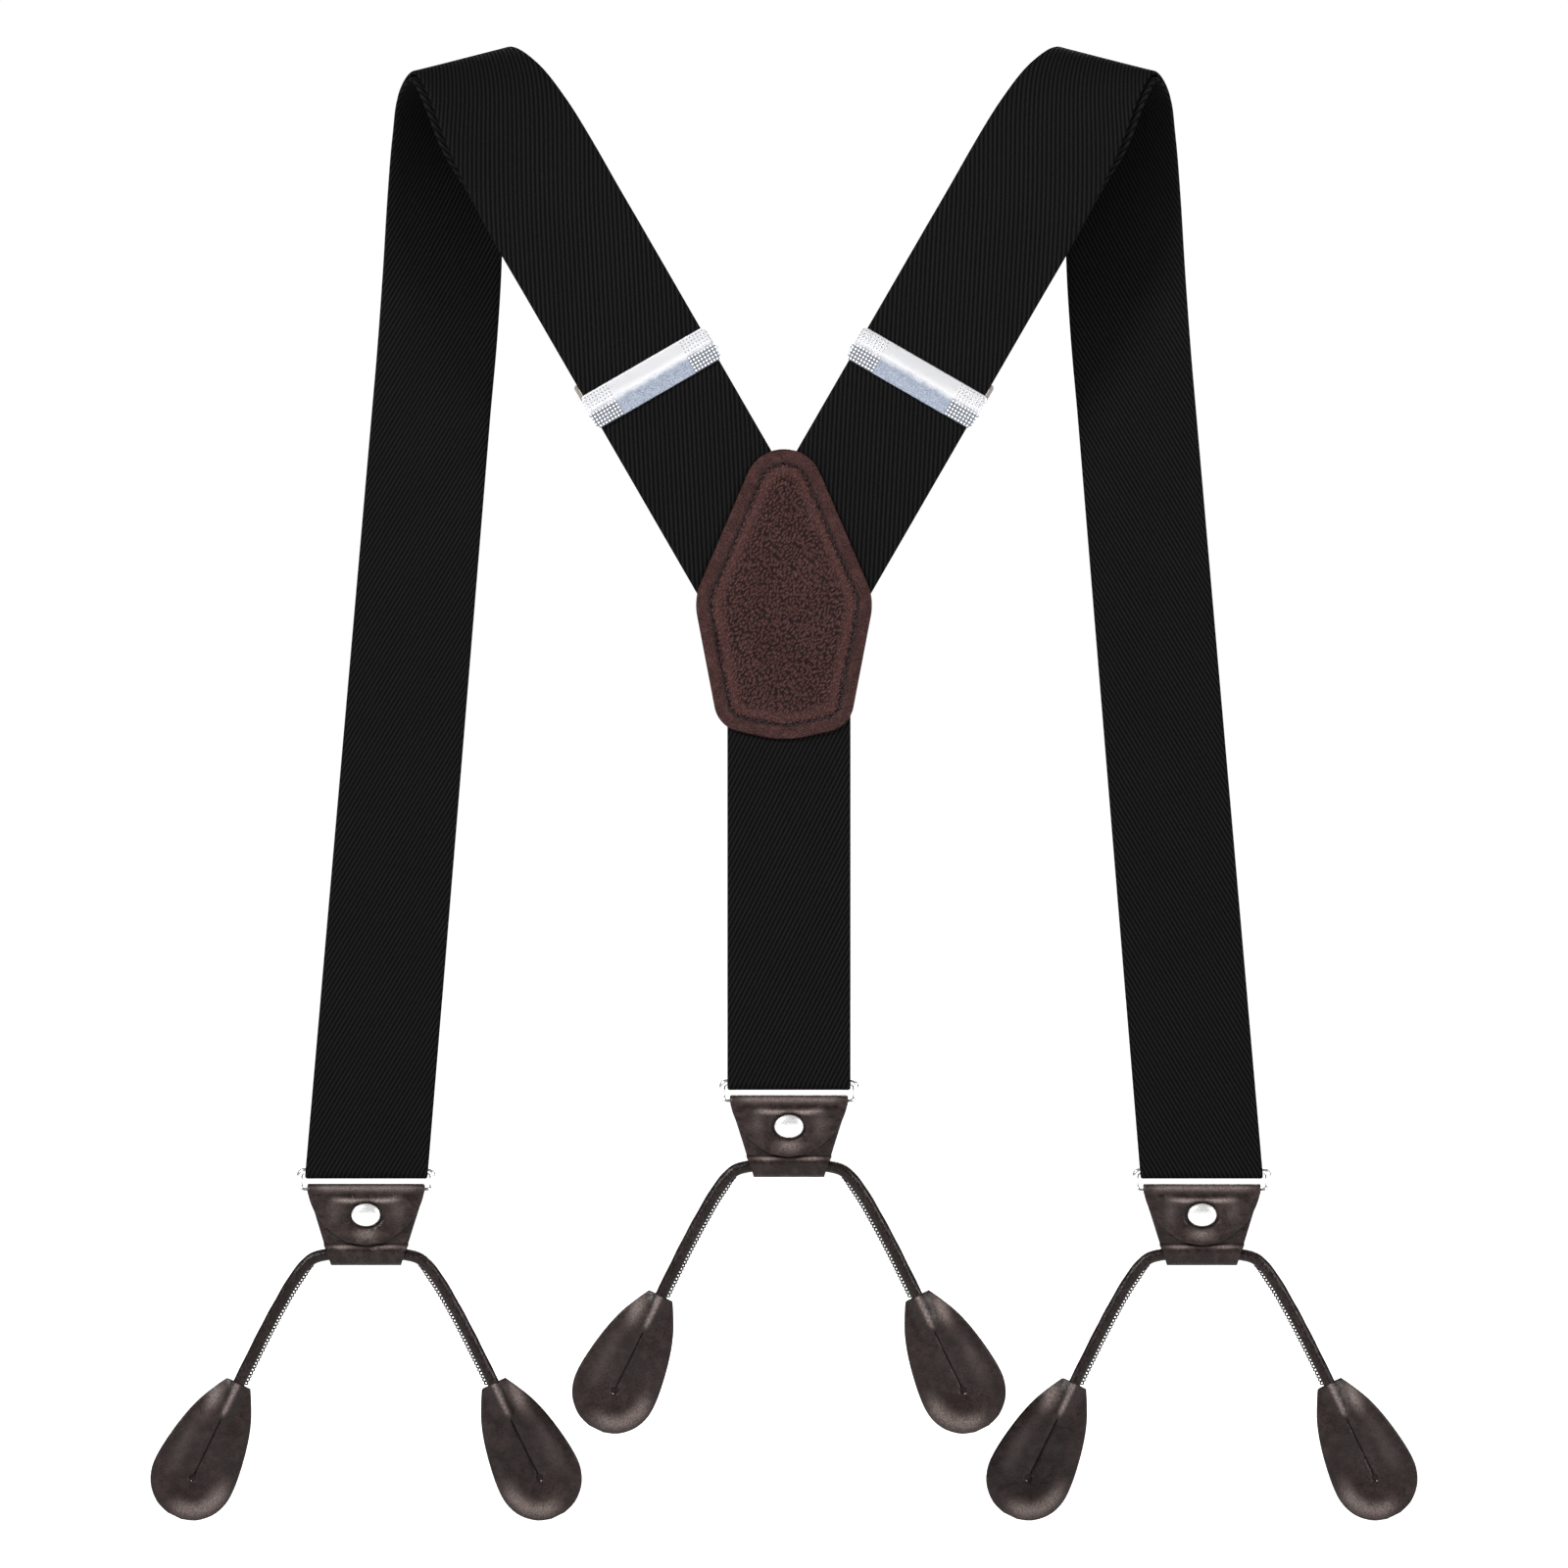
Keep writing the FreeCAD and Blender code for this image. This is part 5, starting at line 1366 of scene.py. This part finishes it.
def ear_loop():
    """The button end's outline as (across, down its length)."""
    stations = [(3.7, 0.0), (5.6, 3.4), (8.0, 8.4), (9.8, 14.0), (11.2, 20.8), (12.0, 27.6),
                (11.7, 32.6), (9.8, 37.0), (6.2, 40.4), (2.2, 41.9)]
    right = dense_line(stations, 4)
    return anticlockwise(spaced(right + [(-x, y) for x, y in reversed(right)], 0.7))


def keyhole_loop(half, radius):
    """The slit with its round end, as (across, down the length); without a width it is shut."""
    top, centre = 11.6, 29.9
    if not half:
        turns = np.linspace(0, 2 * math.pi, 20)[:-1]
        return anticlockwise([(radius * math.sin(t), centre + 1.4 - radius * math.cos(t)) for t in turns])
    low = centre - radius - 0.5
    start = math.asin(half / radius)
    loop = [(-half, top), (0.0, top - 0.3), (half, top)] + [(half, t) for t in np.arange(top + 0.7, low, 0.7)]
    for angle in np.linspace(start, 2 * math.pi - start, 19):
        loop.append((radius * math.sin(angle), centre - radius * math.cos(angle)))
    loop += [(-half, t) for t in np.arange(top + 0.7, low, 0.7)[::-1]]
    return anticlockwise(loop)


def ear(name, ear_name, side, sleeve):
    """Two leather leaves sewn round the cord's end, dished below and raised along the cord."""
    start = sleeve + Vector((side * CORD_ROUTE[-1][0], 0, CORD_ROUTE[-1][1])) / MM
    down = Vector((side * math.sin(EAR_TILT), 0, -math.cos(EAR_TILT)))
    across = Vector((math.cos(EAR_TILT), 0, side * math.sin(EAR_TILT)))

    def lay(x, depth, run):
        return start + across * x + down * run + deep(depth)

    pieces = []
    for label, half, radius in (("front", 0.12, 1.05), ("back", 0.0, 0.45)):
        slot = keyhole_loop(half, radius)
        flat, faces, loops = flat_mesh(ear_loop(), [slot], (0.1, 0.3, 0.6, 1.1), 0.95, 1.5)
        border, slit = distances(flat, loops[0]), distances(flat, keyhole_loop(0.1, 0.8))
        x, run = flat[:, 0], flat[:, 1]
        width = np.clip(1.85 - 0.09 * run, 0.75, None)
        over_cord = hill(x, 0, width) * (1 - smooth_step(run, 8.5, 13.0))
        valley = 0.4 * hill(np.abs(x), 3.6, 1.5) * (1 - smooth_step(run, 6.0, 15.0))
        dish = EAR_DISH * np.clip(1 - (x / 9.8) ** 2 - ((run - 28.0) / 11.5) ** 2, 0, None)
        lip = 0.3 * hill(slit, 0, 0.55)
        fall = 0.5 * (1 - smooth_step(border, 0.0, 3.4))
        curl = 0.0016 * (run - 21) * side * x
        edge = rounded(border, 0.5) + rounded(slit, 0.2)
        if label == "front":
            ahead = -1.15 - 1.6 * over_cord + valley + dish + lip + fall + edge + curl
            behind = -0.03 - 1.5 * over_cord + dish * 0.9 + curl
        else:
            ahead = 0.03 + 1.1 * over_cord + dish * 0.9 + curl
            behind = 1.12 + 1.15 * over_cord + dish * 0.7 - fall - edge + curl
        points, all_faces, walls = slab(flat, faces, ahead, behind, lay)
        dark = [i for i, face in enumerate(all_faces)
                if i in walls or np.mean([border[k % len(flat)] for k in face]) < 0.22]
        # Painted highlights, laid on as paler leather: the line over the cord, the outer shoulder, the lower
        # inner rim and the upper outer rim.
        outward = side * x
        cord_line = 0.75 * hill(x, 0, 0.7) * (1 - smooth_step(run, 8.5, 11.5))
        shoulder = 0.6 * np.exp(-((outward - 4.6) / 2.2) ** 2 - ((run - 6.0) / 5.5) ** 2)
        low_rim = 0.5 * hill(border, 3.0, 2.6) * smooth_step(run, 22, 33)
        low_rim *= smooth_step(-outward, -6, 2)
        high_rim = 0.2 * hill(outward, 6.5, 2.5) * smooth_step(run, 8, 20)
        high_rim *= 1 - smooth_step(run, 26, 36)
        painted_highlight = cord_line + shoulder + low_rim + high_rim
        texture = [(share, 0) for share in (*painted_highlight, *painted_highlight)]
        piece = new_piece(f"{name}_{ear_name}_button_end_{label}", points, all_faces, "ear", "tab_leather",
                          texture, sharp=70, second="edge", picks=dark)
        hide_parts(f"{name}_{ear_name}_ear_{label}")
        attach(piece, f"{name}_ears")
        pieces.append(piece)
    return pieces


def tab(name):
    origin = joint_place(f"{name}_tab_hinge")
    sleeve = joint_place(f"{name}_ears_hinge")
    for ear_name, side in SIDES.items():
        tube, seam, line, length = cord(name, ear_name, side, sleeve)
        pieces = ear(name, ear_name, side, sleeve)
        [point * MM for point in line]
    tab_loop(name, origin)
    tab_sleeve(name, origin, sleeve.z - origin.z)


# ---------------------------------------------------------------- the whole object

for tab_name in TABS:
    tab(tab_name)
for side_name, side_sign in SIDES.items():
    side_straps(side_name, side_sign)
    adjuster(side_name)
centre_strap()
patch()
dress_cad_metal()

# ---------------------------------------------------------------- stage and light


FLOOR_HALF = 9000
FLOOR_GAP = 0.03  # metres below the set, which hangs clear of the floor


def stage():
    low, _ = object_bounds()
    corners = [(x * FLOOR_HALF, y * FLOOR_HALF, 0) for x, y in ((-1, -1), (1, -1), (1, 1), (-1, 1))]
    floor = new_piece("floor", corners, [(0, 1, 2, 3)], "stage", "webbing")
    floor.location.z = low.z - FLOOR_GAP
    del floor["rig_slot"]
    floor["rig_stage"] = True


def area_light(name, place, target, size, power):
    data = bpy.data.lights.new(name, "AREA")
    data.shape, data.size, data.energy = "DISK", size, power
    light = bpy.data.objects.new(name, data)
    light.location = place
    light.rotation_euler = (Vector(target) - Vector(place)).to_track_quat("-Z", "Y").to_euler()
    bpy.context.scene.collection.objects.link(light)


HORIZON_RISE = (0.085, 0.17)  # where the white horizon starts to fade, and where it ends
HORIZON_LIGHT, OVERHEAD_LIGHT = 1.02, 0.16


def studio():
    """A white horizon all round, dimmer overhead, so that leather and metal keep their contrast."""
    world = bpy.data.worlds.new("studio")
    world.use_nodes = True
    bpy.context.scene.world = world
    tree = world.node_tree
    background = tree.nodes["Background"]
    spot = tree.nodes.new("ShaderNodeTexCoord")
    parts = tree.nodes.new("ShaderNodeSeparateXYZ")
    lift = tree.nodes.new("ShaderNodeMath")
    lift.operation = "ABSOLUTE"
    ramp = tree.nodes.new("ShaderNodeMapRange")
    ramp.interpolation_type = "SMOOTHSTEP"
    tree.links.new(spot.outputs[0], parts.inputs[0])
    tree.links.new(parts.outputs[2], lift.inputs[0])
    tree.links.new(lift.outputs[0], ramp.inputs[0])
    for index, value in enumerate((*HORIZON_RISE, HORIZON_LIGHT, OVERHEAD_LIGHT), start=1):
        ramp.inputs[index].default_value = value
    tree.links.new(ramp.outputs[0], background.inputs["Strength"])
    background.inputs["Color"].default_value = (1, 1, 1, 1)
    middle = (0, 0, -0.2)
    area_light("key", (-1.3, -1.2, 1.1), middle, 0.5, 62)
    area_light("fill", (1.5, -1.0, 0.5), middle, 0.6, 26)
    area_light("back", (0.4, 1.8, 0.8), middle, 0.9, 18)
    view = bpy.context.scene.view_settings
    view.view_transform, view.look = "Standard", "None"


stage()
studio()
